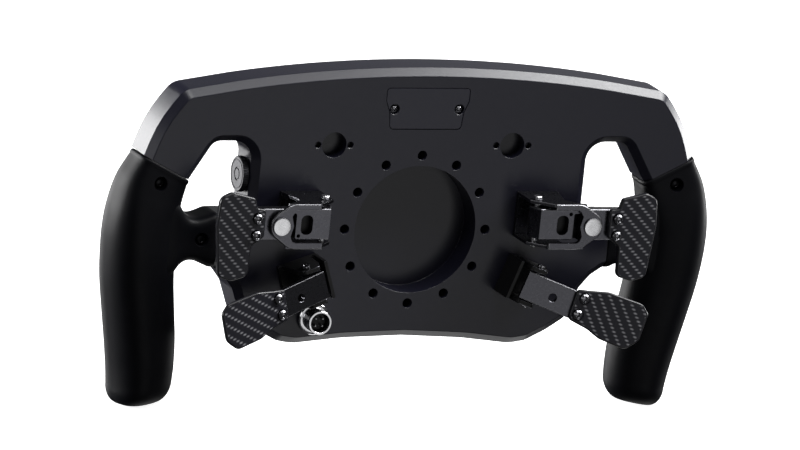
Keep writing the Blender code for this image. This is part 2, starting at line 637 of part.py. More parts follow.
def make_clutch(side_name, steel, dark_metal, carbon):
    side = SIDES[side_name]
    half_arm, ear_inner, ear_outer = 6.6, 7.1, 9.35
    low_t, high_t = CLUTCH_MIDDLE - ear_outer, CLUTCH_MIDDLE + ear_outer
    bm = bmesh.new()
    add_prism(bm, [(-31.5, GAP), (-31.5, 15), (-30, 15), (-30, 2.3), (-12, 2.3), (-12, GAP)],
              low_t, high_t, clutch_side)
    bracket = make_object(f"clutch_bracket_{side_name}", bm, side, dark_metal)
    ear = rounded([(-28.0, GAP), (-28.0, 13), (-26.4, 18.2, 1.5), (-18.6, 18.2, 2), (-16.5, 14, 1),
                   (-13.5, GAP)])
    for label, low in (("ear_low", low_t), ("ear_high", CLUTCH_MIDDLE + ear_inner)):
        bm = bmesh.new()
        add_prism(bm, ear, low, low + ear_outer - ear_inner, clutch_side)
        join(bracket, bm, label, side)
    bm = bmesh.new()
    for low in (low_t - 1, CLUTCH_MIDDLE + ear_inner - 1):
        add_prism(bm, circle(CLUTCH_PIVOT, BORE_RADIUS, 10), low, low + 4.25, clutch_profile)
    cut(bracket, bm, "bores", side)

    bm = bmesh.new()
    ends = [(PIN_RADIUS, low_t - 0.8), (PIN_RADIUS, high_t + GAP), (2.0, high_t + GAP),
            (2.0, high_t + 1.3)]
    add_turned(bm, ends, CLUTCH_PIVOT, clutch_profile, 10)
    make_object(f"clutch_pin_{side_name}", bm, side, steel)

    bm = bmesh.new()
    add_coil(bm, CLUTCH_PIVOT, 2.3, 0.42, CLUTCH_MIDDLE - 2.7, CLUTCH_MIDDLE + 2.7, 3, clutch_profile)
    make_object(f"clutch_spring_{side_name}", bm, side, steel)

    s0, n0 = CLUTCH_PIVOT
    knuckle = [(s0 + 3.3 * math.cos(a), n0 + 3.3 * math.sin(a))
               for a in (math.radians(d) for d in range(10, -191, -40))]
    profile = [(-28.2, 0), (6, 0), (6, -2.8), (-15.5, -2.8)] + knuckle + [(-28.2, -2.8)]
    bm = bmesh.new()
    add_prism(bm, profile, CLUTCH_MIDDLE - half_arm, CLUTCH_MIDDLE + half_arm, clutch_profile)
    arm = make_object(f"clutch_arm_{side_name}", bm, side, dark_metal)
    bm = bmesh.new()
    add_prism(bm, box_outline(-27.4, -16.5, -12, -2.81), CLUTCH_MIDDLE - 3.6, CLUTCH_MIDDLE + 3.6,
              clutch_profile)
    cut(arm, bm, "spring_gap", side)
    bm = bmesh.new()
    for low in (-9, 2):
        add_prism(bm, circle(CLUTCH_PIVOT, BORE_RADIUS, 10), CLUTCH_MIDDLE + low,
                  CLUTCH_MIDDLE + low + 7, clutch_profile)
    add_prism(bm, circle((-13.5, -1.7), 2.1, 14), -4, 1, clutch_tilted)
    for t in CLUTCH_SCREWS:
        add_prism(bm, circle((0, t), THREAD_HOLE, 8), -4, 1, clutch_tilted)
    cut(arm, bm, "holes", side)

    outline = rounded([(-4.7, 6.6, 1), (0.5, 8.0), (9.8, 11.0, 6), (26.4, 11.8, 4), (30.6, 8.6, 3),
                       (31.6, -4.8, 5), (26.8, -10.9, 4), (13.5, -10.9, 8), (7.0, -8.9),
                       (-3.0, -7.9, 1), (-3.7, -4.5)])
    bm = bmesh.new()
    low, high = GAP, 2.5
    edge = inset(outline, 0.5)
    rings = [(edge, low), (outline, low + 0.5), (outline, high - 0.5), (edge, high)]
    add_loft(bm, [[clutch_tilted(p.x, p.y, depth) for p in ring] for ring, depth in rings])
    paddle = make_object(f"clutch_paddle_{side_name}", bm, side, carbon)
    bm = bmesh.new()
    for t in CLUTCH_SCREWS:
        steps = [(THREAD_HOLE, -1), (THREAD_HOLE, high - 0.9), (2.6, high - 0.9), (2.6, high + 1)]
        add_turned(bm, steps, (0, t), clutch_tilted, 10)
    cut(paddle, bm, "holes", side)

    screws = []
    for number, t in enumerate(CLUTCH_SCREWS, 1):
        name = f"clutch_screw_{side_name}_{number}"
        screws.append(socket_screw(name, clutch_tilted, (0, t), side, (2.2, 2.0), 3.9, -2.4, steel))
    pivot = clutch_profile(*CLUTCH_PIVOT, CLUTCH_MIDDLE)
    hang([arm, paddle] + screws, f"clutch_pivot_{side_name}", pivot, side)


# ---------------------------------------------------------------- controls and fittings

def make_thumb_knob(material):
    back = THUMB_WALL + 0.5
    steps = [(2.5, THUMB_WALL - 9.3), (2.5, back), (8.3, back), (8.3, back + 2.8)]
    bm = bmesh.new()
    add_turned(bm, steps, THUMB_KNOB, along_x, 24)
    knob = make_object("thumb_knob", bm, 1, material)
    hang([knob], "thumb_axis", (back, *THUMB_KNOB), 1)


def make_button(name, x, z, material):
    steps = [(4.8, PLATE_FRONT - 2.7), (5.4, PLATE_FRONT - 2.2), (5.4, FRONT + 0.1), (6.6, FRONT + 0.1),
             (6.6, FRONT + 1.1), (2.0, FRONT + 1.1), (2.0, -1.0)]
    bm = bmesh.new()
    add_turned(bm, steps, (x, z), segments=14)
    button = make_object(name, bm, 1, material)
    hang([button], f"{name}_axis", (x, PLATE_FRONT, z), 1)


def make_rotary_knob(name, x, z, material):
    face = PLATE_FRONT
    steps = [(7.2, face - 13.5), (7.8, face - 12.9), (7.8, face - 3.2), (8.6, face - 2.6),
             (8.6, face - GAP), (3.0, face - GAP), (3.0, FRONT + 0.1), (4.6, FRONT + 0.1),
             (4.6, FRONT + 1.6)]
    bm = bmesh.new()
    add_turned(bm, steps, (x, z), segments=18)
    knob = make_object(name, bm, 1, material)
    hang([knob], f"{name}_axis", (x, face, z), 1)


def make_connector(chrome, black):
    bm = bmesh.new()
    steps = [(5.6, REAR - 7), (5.6, REAR + GAP), (7.5, REAR + GAP), (7.5, REAR + 2.8),
             (5.6, REAR + 2.8), (5.6, REAR + 9.5)]
    add_turned(bm, steps, CONNECTOR, segments=20)
    shell = make_object("connector_shell", bm, 1, chrome)
    bm = bmesh.new()
    add_prism(bm, circle(CONNECTOR, 4.6, 20), REAR - 8, REAR + 10)
    cut(shell, bm, "bore")
    bm = bmesh.new()
    add_prism(bm, circle(CONNECTOR, 4.3, 20), REAR - 6, REAR + 5.5)
    insert = make_object("connector_insert", bm, 1, black)
    bm = bmesh.new()
    for dx in (-1.7, 1.7):
        for dz in (-1.7, 1.7):
            place = (CONNECTOR[0] + dx, CONNECTOR[1] + dz)
            add_prism(bm, circle(place, 0.55, 6), REAR + 4.5, REAR + 8.3)
    join(insert, bm, "pins")


def make_hatch(material, steel):
    bm = bmesh.new()
    outline = hatch_outline()
    rings = [(outline, REAR - 1.9), (outline, REAR - 0.3), (inset(outline, 0.3), REAR)]
    add_loft(bm, [[along_y(p.x, p.y, depth) for p in ring] for ring, depth in rings])
    cover = make_object("hatch_cover", bm, 1, material)
    bm = bmesh.new()
    for sign in SIDES.values():
        add_prism(bm, circle((sign * HATCH_SCREW[0], HATCH_SCREW[1]), 2.4, 12), REAR - 3, REAR + 1)
    cut(cover, bm, "holes")
    for side_name, sign in SIDES.items():
        socket_screw(f"hatch_screw_{side_name}", along_y, HATCH_SCREW, sign, (1.7, 1.7),
                     REAR - 0.2, 6.0, steel, shank=1.0)


def build():
    for item in list(bpy.data.objects):
        bpy.data.objects.remove(item)
    shell_black = make_material("shell_black", (0.018, 0.018, 0.021), 0.45)
    carbon = make_material("carbon_fibre", (0.03, 0.03, 0.033), 0.35)
    rubber = make_material("grip_rubber", (0.02, 0.02, 0.022), 0.6)
    anodised = make_material("anodised_metal", (0.05, 0.05, 0.055), 0.4, 0.9)
    steel = make_material("screw_steel", (0.6, 0.6, 0.62), 0.25, 1.0)
    magnet = make_material("magnet_nickel", (0.72, 0.72, 0.75), 0.3, 1.0)
    chrome = make_material("chrome", (0.75, 0.75, 0.77), 0.12, 1.0)
    black_plastic = make_material("black_plastic", (0.015, 0.015, 0.016), 0.5)
    board = make_material("circuit_board", (0.01, 0.09, 0.04), 0.5)

    make_rear_housing(shell_black)
    make_front_plate(carbon)
    make_circuit_board(board)
    make_hatch(shell_black, steel)
    make_connector(chrome, black_plastic)
    make_thumb_knob(anodised)
    for side_name, side in SIDES.items():
        make_grip(side_name, rubber)
        for label, place in grip_screw_places().items():
            socket_screw(f"grip_screw_{label}_{side_name}", along_y, place, side, (2.4, 2.2),
                         REAR - 0.8, 1.0, steel)
        make_shifter(side_name, steel, anodised, carbon, magnet)
        make_clutch(side_name, steel, anodised, carbon)
        for number, (x, z) in enumerate(BUTTON_PLACES, 1):
            make_button(f"button_{side_name}_{number}", side * x, z, black_plastic)
        for number, (x, z) in enumerate(PLATE_SCREWS, 1):
            socket_screw(f"plate_screw_{side_name}_{number}", facing_driver, (x, z), side,
                         (2.5, 2.0), -0.3, -8.5, steel)
    for number, (x, z) in enumerate(KNOB_PLACES, 1):
        make_rotary_knob(f"rotary_knob_{number}", x, z, anodised)


build()
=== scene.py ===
"""Looks of the racing wheel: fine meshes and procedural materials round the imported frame.

Lengths are in millimetres and become metres when a mesh is made.  X runs to the driver's right, Y out
of the back of the wheel and Z up.  A side of +1 is the driver's right, and -1 is the driver's left.
"""
import math

import bmesh
import bpy
from mathutils import Matrix, Vector


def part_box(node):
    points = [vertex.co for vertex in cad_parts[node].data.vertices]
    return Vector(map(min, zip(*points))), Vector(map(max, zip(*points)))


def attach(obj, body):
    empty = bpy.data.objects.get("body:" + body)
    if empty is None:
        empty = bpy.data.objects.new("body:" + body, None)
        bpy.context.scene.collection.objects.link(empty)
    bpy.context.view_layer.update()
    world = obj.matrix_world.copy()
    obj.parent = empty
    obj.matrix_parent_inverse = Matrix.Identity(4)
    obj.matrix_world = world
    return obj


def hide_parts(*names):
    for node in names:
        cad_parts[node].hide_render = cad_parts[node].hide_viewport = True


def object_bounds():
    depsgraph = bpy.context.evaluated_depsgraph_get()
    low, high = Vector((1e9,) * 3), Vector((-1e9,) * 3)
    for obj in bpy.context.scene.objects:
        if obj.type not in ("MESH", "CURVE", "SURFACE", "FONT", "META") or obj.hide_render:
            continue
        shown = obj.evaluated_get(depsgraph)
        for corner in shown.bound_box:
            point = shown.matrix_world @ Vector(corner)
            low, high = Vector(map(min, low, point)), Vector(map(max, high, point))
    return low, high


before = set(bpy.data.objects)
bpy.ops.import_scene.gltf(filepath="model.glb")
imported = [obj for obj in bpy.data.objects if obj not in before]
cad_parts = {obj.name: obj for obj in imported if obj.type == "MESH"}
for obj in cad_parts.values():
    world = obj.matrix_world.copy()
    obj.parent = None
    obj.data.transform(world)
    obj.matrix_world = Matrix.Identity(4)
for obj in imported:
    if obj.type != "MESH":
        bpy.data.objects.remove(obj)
cad_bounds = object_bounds()

MM = 0.001
SIDES = {"right": 1, "left": -1}
BODY = "wheel_body"


def node_box(node):
    """A CAD node's lowest and highest corners, in millimetres."""
    low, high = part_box(node)
    return low / MM, high / MM


# Places read from the frame
PLATE_LOW, PLATE_HIGH = node_box("front_plate")
FRONT = node_box("rear_housing")[0].y
PLATE_FRONT, PLATE_BACK = PLATE_LOW.y, PLATE_HIGH.y
CONNECTOR_LOW, CONNECTOR_HIGH = node_box("connector_shell")
CONNECTOR = ((CONNECTOR_LOW.x + CONNECTOR_HIGH.x) / 2, (CONNECTOR_LOW.z + CONNECTOR_HIGH.z) / 2)
KNOB_LOW, KNOB_HIGH = node_box("thumb_knob")
THUMB_KNOB = ((KNOB_LOW.y + KNOB_HIGH.y) / 2, (KNOB_LOW.z + KNOB_HIGH.z) / 2)

# The design's driving dimensions
GAP = 0.3
REAR = 14.0
CHAMFER = 3.5
TOP_RADIUS = 650.0
TOP_CENTRE = 75.8
RECESS_RADIUS = 30.0
BOLT_CIRCLE = 70.0
BOLT_COUNT = 12
BOLT_RADIUS = 2.7
POCKET = (44.3, 39.8)
HATCH_SCREW = (16.1, 56.8)
PLATE_INSET = 2.5
SEAM_INNER = Vector((113.3, 22.5))
SEAM_OUTER = Vector((136.3, 34.0))
SPOKE_END = 97.3
SPOKE_MIDDLE = -5.8
TONGUE = (14.0, 10.0, 14.0)
MID_DEPTH = (REAR + FRONT) / 2
THUMB_WALL = 83.3
GRIP_SCREW_ON_SPOKE = (105.2, -5.1)
SCREW_HOLE = 1.5                # radii of the holes round the screws and the pivot pins
PIN_HOLE = 1.55
SHIFT_LOW, SHIFT_HIGH = -2.9, 18.4
SHIFT_SLOT_FLOOR = 18.6
SHIFT_PIVOT = (52.9, 15.6)
SHIFT_MAGNET = (77.3, 7.9)
SHIFT_SCREWS = [(89.5, 11.8), (89.5, 3.8)]
SHIFT_ARM_TOP = 22.6
SHIFT_FACE_TOP = 25.6
CLUTCH_ORIGIN = (75.45, -29.4, 25.5)
CLUTCH_DROOP = math.radians(19.6)
CLUTCH_TILT = math.radians(13.2)
CLUTCH_PIVOT = (-22.95, -5.9)
CLUTCH_MIDDLE = -0.95
CLUTCH_SCREWS = [(0, 3.9), (0, -4.1)]
PLATE_SCREWS = [(106, 53), (73, -42)]
TOW = 1.45                      # width of one carbon tow


# ---------------------------------------------------------------- materials

class Shade:
    """A Principled material, with short calls for the nodes that drive it."""

    def __init__(self, name, colour, roughness, metallic=0.0, **values):
        self.material = bpy.data.materials.new(name)
        self.material.use_nodes = True
        self.tree = self.material.node_tree
        self.shader = self.tree.nodes["Principled BSDF"]
        self.set("Base Color", (*colour, 1.0))
        self.set("Roughness", roughness)
        self.set("Metallic", metallic)
        for socket, value in values.items():
            self.set(socket.replace("_", " "), value)
        self.coordinates = self.tree.nodes.new("ShaderNodeTexCoord").outputs["Object"]

    def set(self, socket, value):
        self.shader.inputs[socket].default_value = value

    def plug(self, value, socket):
        if isinstance(value, bpy.types.NodeSocket):
            self.tree.links.new(value, socket)
        else:
            socket.default_value = value

    def math(self, operation, first, second=0.0):
        node = self.tree.nodes.new("ShaderNodeMath")
        node.operation = operation
        self.plug(first, node.inputs[0])
        self.plug(second, node.inputs[1])
        return node.outputs[0]

    def axes(self):
        node = self.tree.nodes.new("ShaderNodeSeparateXYZ")
        self.plug(self.coordinates, node.inputs[0])
        return node.outputs

    def noise(self, size, detail=3.0, stretch=(1, 1, 1)):
        """Noise whose lumps are about size millimetres across."""
        mapping = self.tree.nodes.new("ShaderNodeMapping")
        mapping.inputs["Scale"].default_value = stretch
        self.plug(self.coordinates, mapping.inputs["Vector"])
        node = self.tree.nodes.new("ShaderNodeTexNoise")
        self.plug(mapping.outputs[0], node.inputs["Vector"])
        node.inputs["Scale"].default_value = 1 / (size * MM)
        node.inputs["Detail"].default_value = detail
        return node.outputs["Fac"]

    def between(self, value, low, high, to_low, to_high):
        node = self.tree.nodes.new("ShaderNodeMapRange")
        for number, socket in zip((value, low, high, to_low, to_high), node.inputs):
            self.plug(number, socket)
        return node.outputs[0]

    def blend(self, factor, first, second):
        node = self.tree.nodes.new("ShaderNodeMix")
        node.data_type = "RGBA"
        self.plug(factor, node.inputs["Factor"])
        self.plug((*first, 1.0), node.inputs[6])
        self.plug((*second, 1.0), node.inputs[7])
        return node.outputs[2]

    def colour(self, value):
        self.plug(value, self.shader.inputs["Base Color"])

    def rough(self, value):
        self.plug(value, self.shader.inputs["Roughness"])

    def bump(self, height, depth, strength=1.0):
        """Relief whose full height is depth millimetres."""
        node = self.tree.nodes.new("ShaderNodeBump")
        node.inputs["Distance"].default_value = depth * MM
        node.inputs["Strength"].default_value = strength
        self.plug(height, node.inputs["Height"])
        self.plug(node.outputs[0], self.shader.inputs["Normal"])


def blasted_metal(name, dark, light, roughness, grain, depth=0.012, metallic=0.0):
    """Bead-blasted and anodised aluminium."""
    shade = Shade(name, dark, roughness, metallic)
    shade.colour(shade.blend(shade.noise(grain, 2.0), dark, light))
    shade.rough(shade.between(shade.noise(1.2, 5.0), 0.3, 0.7, roughness - 0.02, roughness + 0.03))
    shade.bump(shade.noise(grain, 2.0), depth, 0.3)
    return shade.material


def brushed_metal(name, colour, roughness, stretch, relief=0.15):
    """Bright metal with fine turning or brushing marks."""
    shade = Shade(name, colour, roughness, 1.0)
    marks = shade.noise(0.35, 2.0, stretch)
    darker = tuple(0.8 * c for c in colour)
    shade.colour(shade.blend(shade.noise(3.0), colour, darker))
    shade.rough(shade.between(marks, 0.3, 0.7, roughness - 0.04, roughness + 0.05))
    shade.bump(marks, 0.01, relief)
    return shade.material


def rubber():
    shade = Shade("grip_rubber", (0.001, 0.001, 0.002), 0.5, Specular_IOR_Level=0.15)
    shade.colour(shade.blend(shade.noise(0.8, 3.0), (0.0008, 0.0009, 0.002), (0.0016, 0.0018, 0.0035)))
    shade.rough(shade.between(shade.noise(7.0, 5.0), 0.3, 0.7, 0.46, 0.52))
    shade.bump(shade.noise(0.45, 3.0), 0.02, 0.4)
    return shade.material


def moulded(name, colour, roughness):
    shade = Shade(name, colour, roughness)
    lighter = tuple(1.4 * c for c in colour)
    shade.colour(shade.blend(shade.noise(6.0), colour, lighter))
    shade.rough(shade.between(shade.noise(2.0), 0.3, 0.7, roughness - 0.06, roughness + 0.06))
    shade.bump(shade.noise(0.3), 0.015, 0.5)
    return shade.material


def carbon():
    """Two-over, two-under twill: each tow floats over two others, and the floats step diagonally."""
    shade = Shade("carbon_fibre", (0.02, 0.02, 0.022), 0.36, Specular_IOR_Level=0.3)
    across, _, up = shade.axes()
    a = shade.math("DIVIDE", across, TOW * MM)
    b = shade.math("DIVIDE", up, TOW * MM)
    step = shade.math("SUBTRACT", shade.math("FLOOR", a), shade.math("FLOOR", b))
    phase = shade.math("FLOORED_MODULO", step, 4.0)
    part_a, part_b = shade.math("FRACT", a), shade.math("FRACT", b)
    weft = shade.math("GREATER_THAN", phase, 1.5)
    along_weft = shade.math("MULTIPLY", shade.math("ADD", shade.math("SUBTRACT", phase, 2.0), part_a), 0.5)
    along_warp = shade.math("MULTIPLY", shade.math("ADD", shade.math("SUBTRACT", 1.0, phase), part_b), 0.5)

    def crown(value):
        return shade.math("SINE", shade.math("MULTIPLY", value, math.pi))

    weft_round = shade.math("MULTIPLY", crown(along_weft), crown(part_b))
    warp_round = shade.math("MULTIPLY", crown(along_warp), crown(part_a))
    weft_part = shade.math("MULTIPLY", weft_round, weft)
    warp_part = shade.math("MULTIPLY", warp_round, shade.math("SUBTRACT", 1.0, weft))
    height = shade.math("ADD", weft_part, warp_part)
    fibres = shade.noise(0.22, 2.0, (0.15, 1, 1))
    # the crowns of the weft floats are painted light grey in the base colour, streaked by the fibres: a
    # painted reflection standing in for the sheen of the tows
    strands = shade.between(fibres, 0.2, 0.8, 0.65, 1.0)
    painted_glint = shade.math("MULTIPLY", shade.math("POWER", weft_part, 2.6), strands)
    shade.colour(shade.blend(painted_glint, (0.016, 0.016, 0.022), (0.46, 0.46, 0.49)))
    shade.rough(shade.between(height, 0.0, 1.0, 0.46, 0.34))
    shade.bump(height, 0.05, 0.5)
    return shade.material


def board_green():
    shade = Shade("circuit_board", (0.01, 0.09, 0.04), 0.4)
    shade.colour(shade.blend(shade.between(shade.noise(4.0, 6.0), 0.48, 0.52, 0, 1),
                             (0.006, 0.07, 0.03), (0.015, 0.12, 0.05)))
    return shade.material


LOOKS = {
    "shell_black": blasted_metal("shell_black", (0.0085, 0.0085, 0.017), (0.011, 0.011, 0.021), 0.32, 0.4),
    "hatch_black": blasted_metal("hatch_black", (0.017, 0.017, 0.028), (0.021, 0.021, 0.033), 0.34, 0.4),
    "anodised_metal": blasted_metal("anodised_metal", (0.105, 0.105, 0.118), (0.118, 0.118, 0.132), 0.28,
                                    0.3, 0.006, metallic=1.0),
    "polished_edge": brushed_metal("polished_edge", (0.30, 0.30, 0.32), 0.3, (0.1, 1, 1)),
    "screw_steel": brushed_metal("screw_steel", (0.32, 0.32, 0.34), 0.26, (1, 0.2, 1), 0.3),
    "screw_black": blasted_metal("screw_black", (0.02, 0.02, 0.022), (0.03, 0.03, 0.032), 0.35, 0.3,
                                 metallic=1.0),
    "magnet_nickel": brushed_metal("magnet_nickel", (0.93, 0.93, 0.95), 0.26, (1, 1, 1)),
    "chrome": brushed_metal("chrome", (0.80, 0.80, 0.82), 0.15, (1, 0.2, 1)),
    "grip_rubber": rubber(),
    "carbon_fibre": carbon(),
    "black_plastic": moulded("black_plastic", (0.011, 0.011, 0.012), 0.42),
    "circuit_board": board_green(),
    "knob_metal": blasted_metal("knob_metal", (0.045, 0.045, 0.05), (0.06, 0.06, 0.065), 0.36, 0.3,
                                metallic=1.0),
    # this near-black is also painted shade, on the floors of the slots in the shifter levers
    "deep_black_and_painted_shade": blasted_metal("deep_black_and_painted_shade", (0.0015, 0.0015, 0.0018), (0.0025, 0.0025, 0.003), 0.5, 0.4),
    "carbon_edge": blasted_metal("carbon_edge", (0.010, 0.010, 0.013), (0.016, 0.016, 0.02), 0.3, 0.5),
    "pointer_white": moulded("pointer_white", (0.7, 0.7, 0.7), 0.5),
}


# ---------------------------------------------------------------- outlines

def rounded(corners, step=math.radians(7.5)):
    """Fillet the corners of a closed outline.  A corner is (x, y) or (x, y, radius)."""
    points = []
    for i, corner in enumerate(corners):
        here = Vector(corner[:2])
        if len(corner) < 3:
            points.append(here)
            continue
        radius = corner[2]
        to_last = (Vector(corners[i - 1][:2]) - here).normalized()
        to_next = (Vector(corners[(i + 1) % len(corners)][:2]) - here).normalized()
        half = to_last.angle(to_next) / 2
        reach = radius / math.tan(half)
        centre = here + (to_last + to_next).normalized() * (radius / math.sin(half))
        start = here + to_last * reach - centre
        sweep = start.angle_signed(here + to_next * reach - centre)
        pieces = max(1, math.ceil(abs(sweep) / step))
        for k in range(pieces + 1):
            points.append(centre + Matrix.Rotation(-sweep * k / pieces, 2) @ start)
    return points


def mirrored(half):
    """A half outline from the top centre to the bottom centre, with its mirror image."""
    return half + [(-corner[0], *corner[1:]) for corner in reversed(half) if corner[0] > 0]


def clockwise(points):
    area = sum(p.x * q.y - q.x * p.y for p, q in zip(points, points[1:] + points[:1]))
    return list(reversed(points)) if area > 0 else list(points)


def inset(points, distance):
    """Move every edge of an outline inwards, with mitred corners."""
    points = clockwise(points)
    moved = []
    for i, here in enumerate(points):
        before = (here - points[i - 1]).normalized()
        after = (points[(i + 1) % len(points)] - here).normalized()
        normal_before = Vector((before.y, -before.x))
        mitre = (normal_before + Vector((after.y, -after.x))).normalized()
        moved.append(here + mitre * (distance / mitre.dot(normal_before)))
    return moved


def circle(centre, radius, segments=48):
    return [Vector((centre[0] + radius * math.cos(math.tau * k / segments),
                    centre[1] + radius * math.sin(math.tau * k / segments)))
            for k in range(segments)]


def box_outline(low_x, high_x, low_y, high_y):
    return [Vector(p) for p in ((low_x, low_y), (low_x, high_y), (high_x, high_y), (high_x, low_y))]


def superellipse(half_width, half_depth, power, tilt, count):
    points = []
    for k in range(count):
        angle = math.tau * k / count
        cosine, sine = math.cos(angle), math.sin(angle)
        p = half_width * math.copysign(abs(cosine) ** (2 / power), cosine)
        q = half_depth * math.copysign(abs(sine) ** (2 / power), sine)
        points.append((p * math.cos(tilt) - q * math.sin(tilt), p * math.sin(tilt) + q * math.cos(tilt)))
    return points


# ---------------------------------------------------------------- solids

def along_y(a, b, depth):
    """Outline in x and z."""
    return Vector((a, depth, b))


def along_x(a, b, depth):
    """Outline in y and z."""
    return Vector((depth, a, b))


def along_z(a, b, depth):
    """Outline in x and y."""
    return Vector((a, b, depth))


def behind(a, b, depth):
    """Outline in x and z, at a distance behind the rear face."""
    return Vector((a, REAR + depth, b))


def flange(a, b, depth):
    """Outline in x and distance behind the rear face, at a height."""
    return Vector((a, REAR + b, depth))


def facing_driver(a, b, depth):
    """Outline in x and z, at a distance in front of the plate."""
    return Vector((a, PLATE_FRONT - depth, b))


def clutch_side(s, depth, t):
    """The clutch's flat frame, as a point of the tilted one."""
    height = depth - CLUTCH_ORIGIN[2]
    return Vector((s * math.cos(CLUTCH_TILT) + height * math.sin(CLUTCH_TILT),
                   height * math.cos(CLUTCH_TILT) - s * math.sin(CLUTCH_TILT), t))


def add_loft(bm, rings, finishes=None, ends=True):
    """Skin a row of rings of equal length.  finishes gives each stretch's material index."""
    made = [[bm.verts.new(point) for point in ring] for ring in rings]
    stretches = list(zip(made, made[1:])) if ends else list(zip(made, made[1:] + made[:1]))
    for row, (low, high) in enumerate(stretches):
        for i in range(len(low)):
            k = (i + 1) % len(low)
            face = bm.faces.new((low[i], low[k], high[k], high[i]))
            face.material_index = finishes[row] if finishes else 0
    if ends:
        bm.faces.new(list(reversed(made[0])))
        bm.faces.new(made[-1])


def add_prism(bm, outline, low, high, place=along_y):
    add_loft(bm, [[place(p[0], p[1], depth) for p in outline] for depth in (low, high)])


def add_plate(bm, outline, low, high, place=along_y, edge=0.3, steps=3, rim=1, side=0):
    """A flat plate with rounded edges, whose edges may have a finish of their own."""
    turns = [math.pi / 2 * k / steps for k in range(steps + 1)]
    profile = [(edge * (1 - math.sin(a)), low + edge * (1 - math.cos(a))) for a in turns]
    profile += [(d, high + low - h) for d, h in reversed(profile)]
    rings = [[place(p.x, p.y, height) for p in inset(outline, depth)] for depth, height in profile]
    add_loft(bm, rings, [rim] * steps + [side] + [rim] * steps)


def turned_rings(profile, centre, place, segments):
    """Rings of (radius, depth) or (radius, depth, knurl) steps; a knurl draws every other point in."""
    rings = []
    middle = Vector(centre)
    for radius, depth, *knurl in profile:
        ring = circle(centre, radius, segments)
        if knurl:
            ring = [p if k % 2 else p + (middle - p).normalized() * knurl[0] for k, p in enumerate(ring)]
        rings.append([place(p.x, p.y, depth) for p in ring])
    return rings


def add_turned(bm, profile, centre, place=along_y, segments=48, closed=False):
    """Turn a profile about an axis through centre."""
    add_loft(bm, turned_rings(profile, centre, place, segments), ends=not closed)


def make_object(name, bm, looks=(), side=1):
    if side < 0:
        bmesh.ops.scale(bm, vec=(-1, 1, 1), verts=bm.verts)
    bmesh.ops.scale(bm, vec=(MM, MM, MM), verts=bm.verts)
    bmesh.ops.recalc_face_normals(bm, faces=bm.faces)
    mesh = bpy.data.meshes.new(name)
    bm.to_mesh(mesh)
    bm.free()
    for look in looks:
        mesh.materials.append(LOOKS[look])
    item = bpy.data.objects.new(name, mesh)
    bpy.context.collection.objects.link(item)
    return item


def combine(item, bm, operation, side=1):
    tool = make_object(f"{item.name}_tool", bm, (), side)
    modifier = item.modifiers.new("tool", "BOOLEAN")
    modifier.operation = operation
    modifier.object = tool
    modifier.solver = "EXACT"
    tool.matrix_world = item.matrix_world
    graph = bpy.context.evaluated_depsgraph_get()
    graph.update()
    made = bpy.data.meshes.new_from_object(item.evaluated_get(graph))
    item.modifiers.clear()
    item.data = made
    bpy.data.objects.remove(tool)


def cut(item, bm, side=1):
    combine(item, bm, "DIFFERENCE", side)


def join(item, bm, side=1):
    combine(item, bm, "UNION", side)


def show(item, node, body=BODY, sharp=32, matrix=None):
    """Shade the piece, and let it stand for its CAD node."""
    item.data.shade_smooth()
    item.data.set_sharp_from_angle(angle=math.radians(sharp))
    flat = item.modifiers.new("flat_faces", "WEIGHTED_NORMAL")
    flat.keep_sharp = True
    if matrix is not None:
        item.matrix_world = matrix
    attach(item, body)
    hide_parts(node)
    return item


# ---------------------------------------------------------------- body

def body_outline():
    top = [(x, TOP_CENTRE - TOP_RADIUS + math.sqrt(TOP_RADIUS ** 2 - x ** 2)) for x in range(0, 93, 4)]
    rim_corner = [(119.6, 64.7, 9), (131, 50, 60), (136.3, 34), (138.9, 26), (118.3, 14.5)]
    opening = [(113.3, 22.5), (102.3, 40.8, 6), (THUMB_WALL, 40.8, 9), (THUMB_WALL, 6.0, 2)]
    spoke = [(104, 6.0), (104, -18.6), (97.2, -18.6, 3)]
    flank = [(91.5, -22.5, 3), (86.5, -28.5, 5), (81, -42.5, 7), (72.2, -48.4, 15)]
    lobe = [(62, -53.6, 10), (54, -54.9, 20), (30, -52.3, 60), (0, -51.1)]
    return rounded(mirrored(top + rim_corner + opening + spoke + flank + lobe))


def cavity_outline():
    top = [(0, 71.0), (60, 68.2), (97, 63.0), (97, 44.3)]
    flank = [(91, 44.3), (84.5, 42), (80, 36), (80, 2.8), (91.5, 2.8), (91.5, -15.4)]
    bottom = [(88, -17.6), (83, -26.5), (79, -35), (69, -39), (66, -46), (54, -51), (30, -48.8)]
    return rounded(mirrored(top + flank + bottom + [(0, -47.7)]))


def hatch_outline():
    return rounded(mirrored([(0, 66.8), (20.6, 66.8, 1.5), (20.6, 60.8), (18.4, 55.2),
                             (17.6, 47.4, 2), (0, 47.4)]))


def seam_axes():
    along = (SEAM_OUTER - SEAM_INNER).normalized()
    return along, Vector((along.y, -along.x))


def seam_point(along_seam, down_rim):
    along, down = seam_axes()
    return (SEAM_INNER + SEAM_OUTER) / 2 + along * along_seam + down * down_rim


def add_end_cuts(bm, sign, low, high):
    seam = [seam_point(-19, 0), seam_point(19, 0), seam_point(19, 25), seam_point(-19, 25)]
    for outline in (seam, box_outline(SPOKE_END, 112, -30, 14)):
        add_prism(bm, [(sign * p.x, p.y) for p in outline], low, high)


def tongue_outlines(extra=0.0):
    half, length = TONGUE[0] / 2 + extra, TONGUE[2] + extra
    seam = [seam_point(-half, -3), seam_point(half, -3), seam_point(half, length), seam_point(-half, length)]
    spoke = box_outline(SPOKE_END - 3, SPOKE_END + length, SPOKE_MIDDLE - half, SPOKE_MIDDLE + half)
    return [seam, spoke]


def grip_screw_places():
    upper = seam_point(0.3, 7.6)
    return {"upper": (upper.x, upper.y), "spoke": GRIP_SCREW_ON_SPOKE}


def flared(radius, floor, mouth, lip=0.35):
    """The cutter of a round hole with a small countersink at its mouth."""
    return [(radius, floor), (radius, mouth - lip), (radius + lip, mouth), (radius + lip, mouth + 1)]


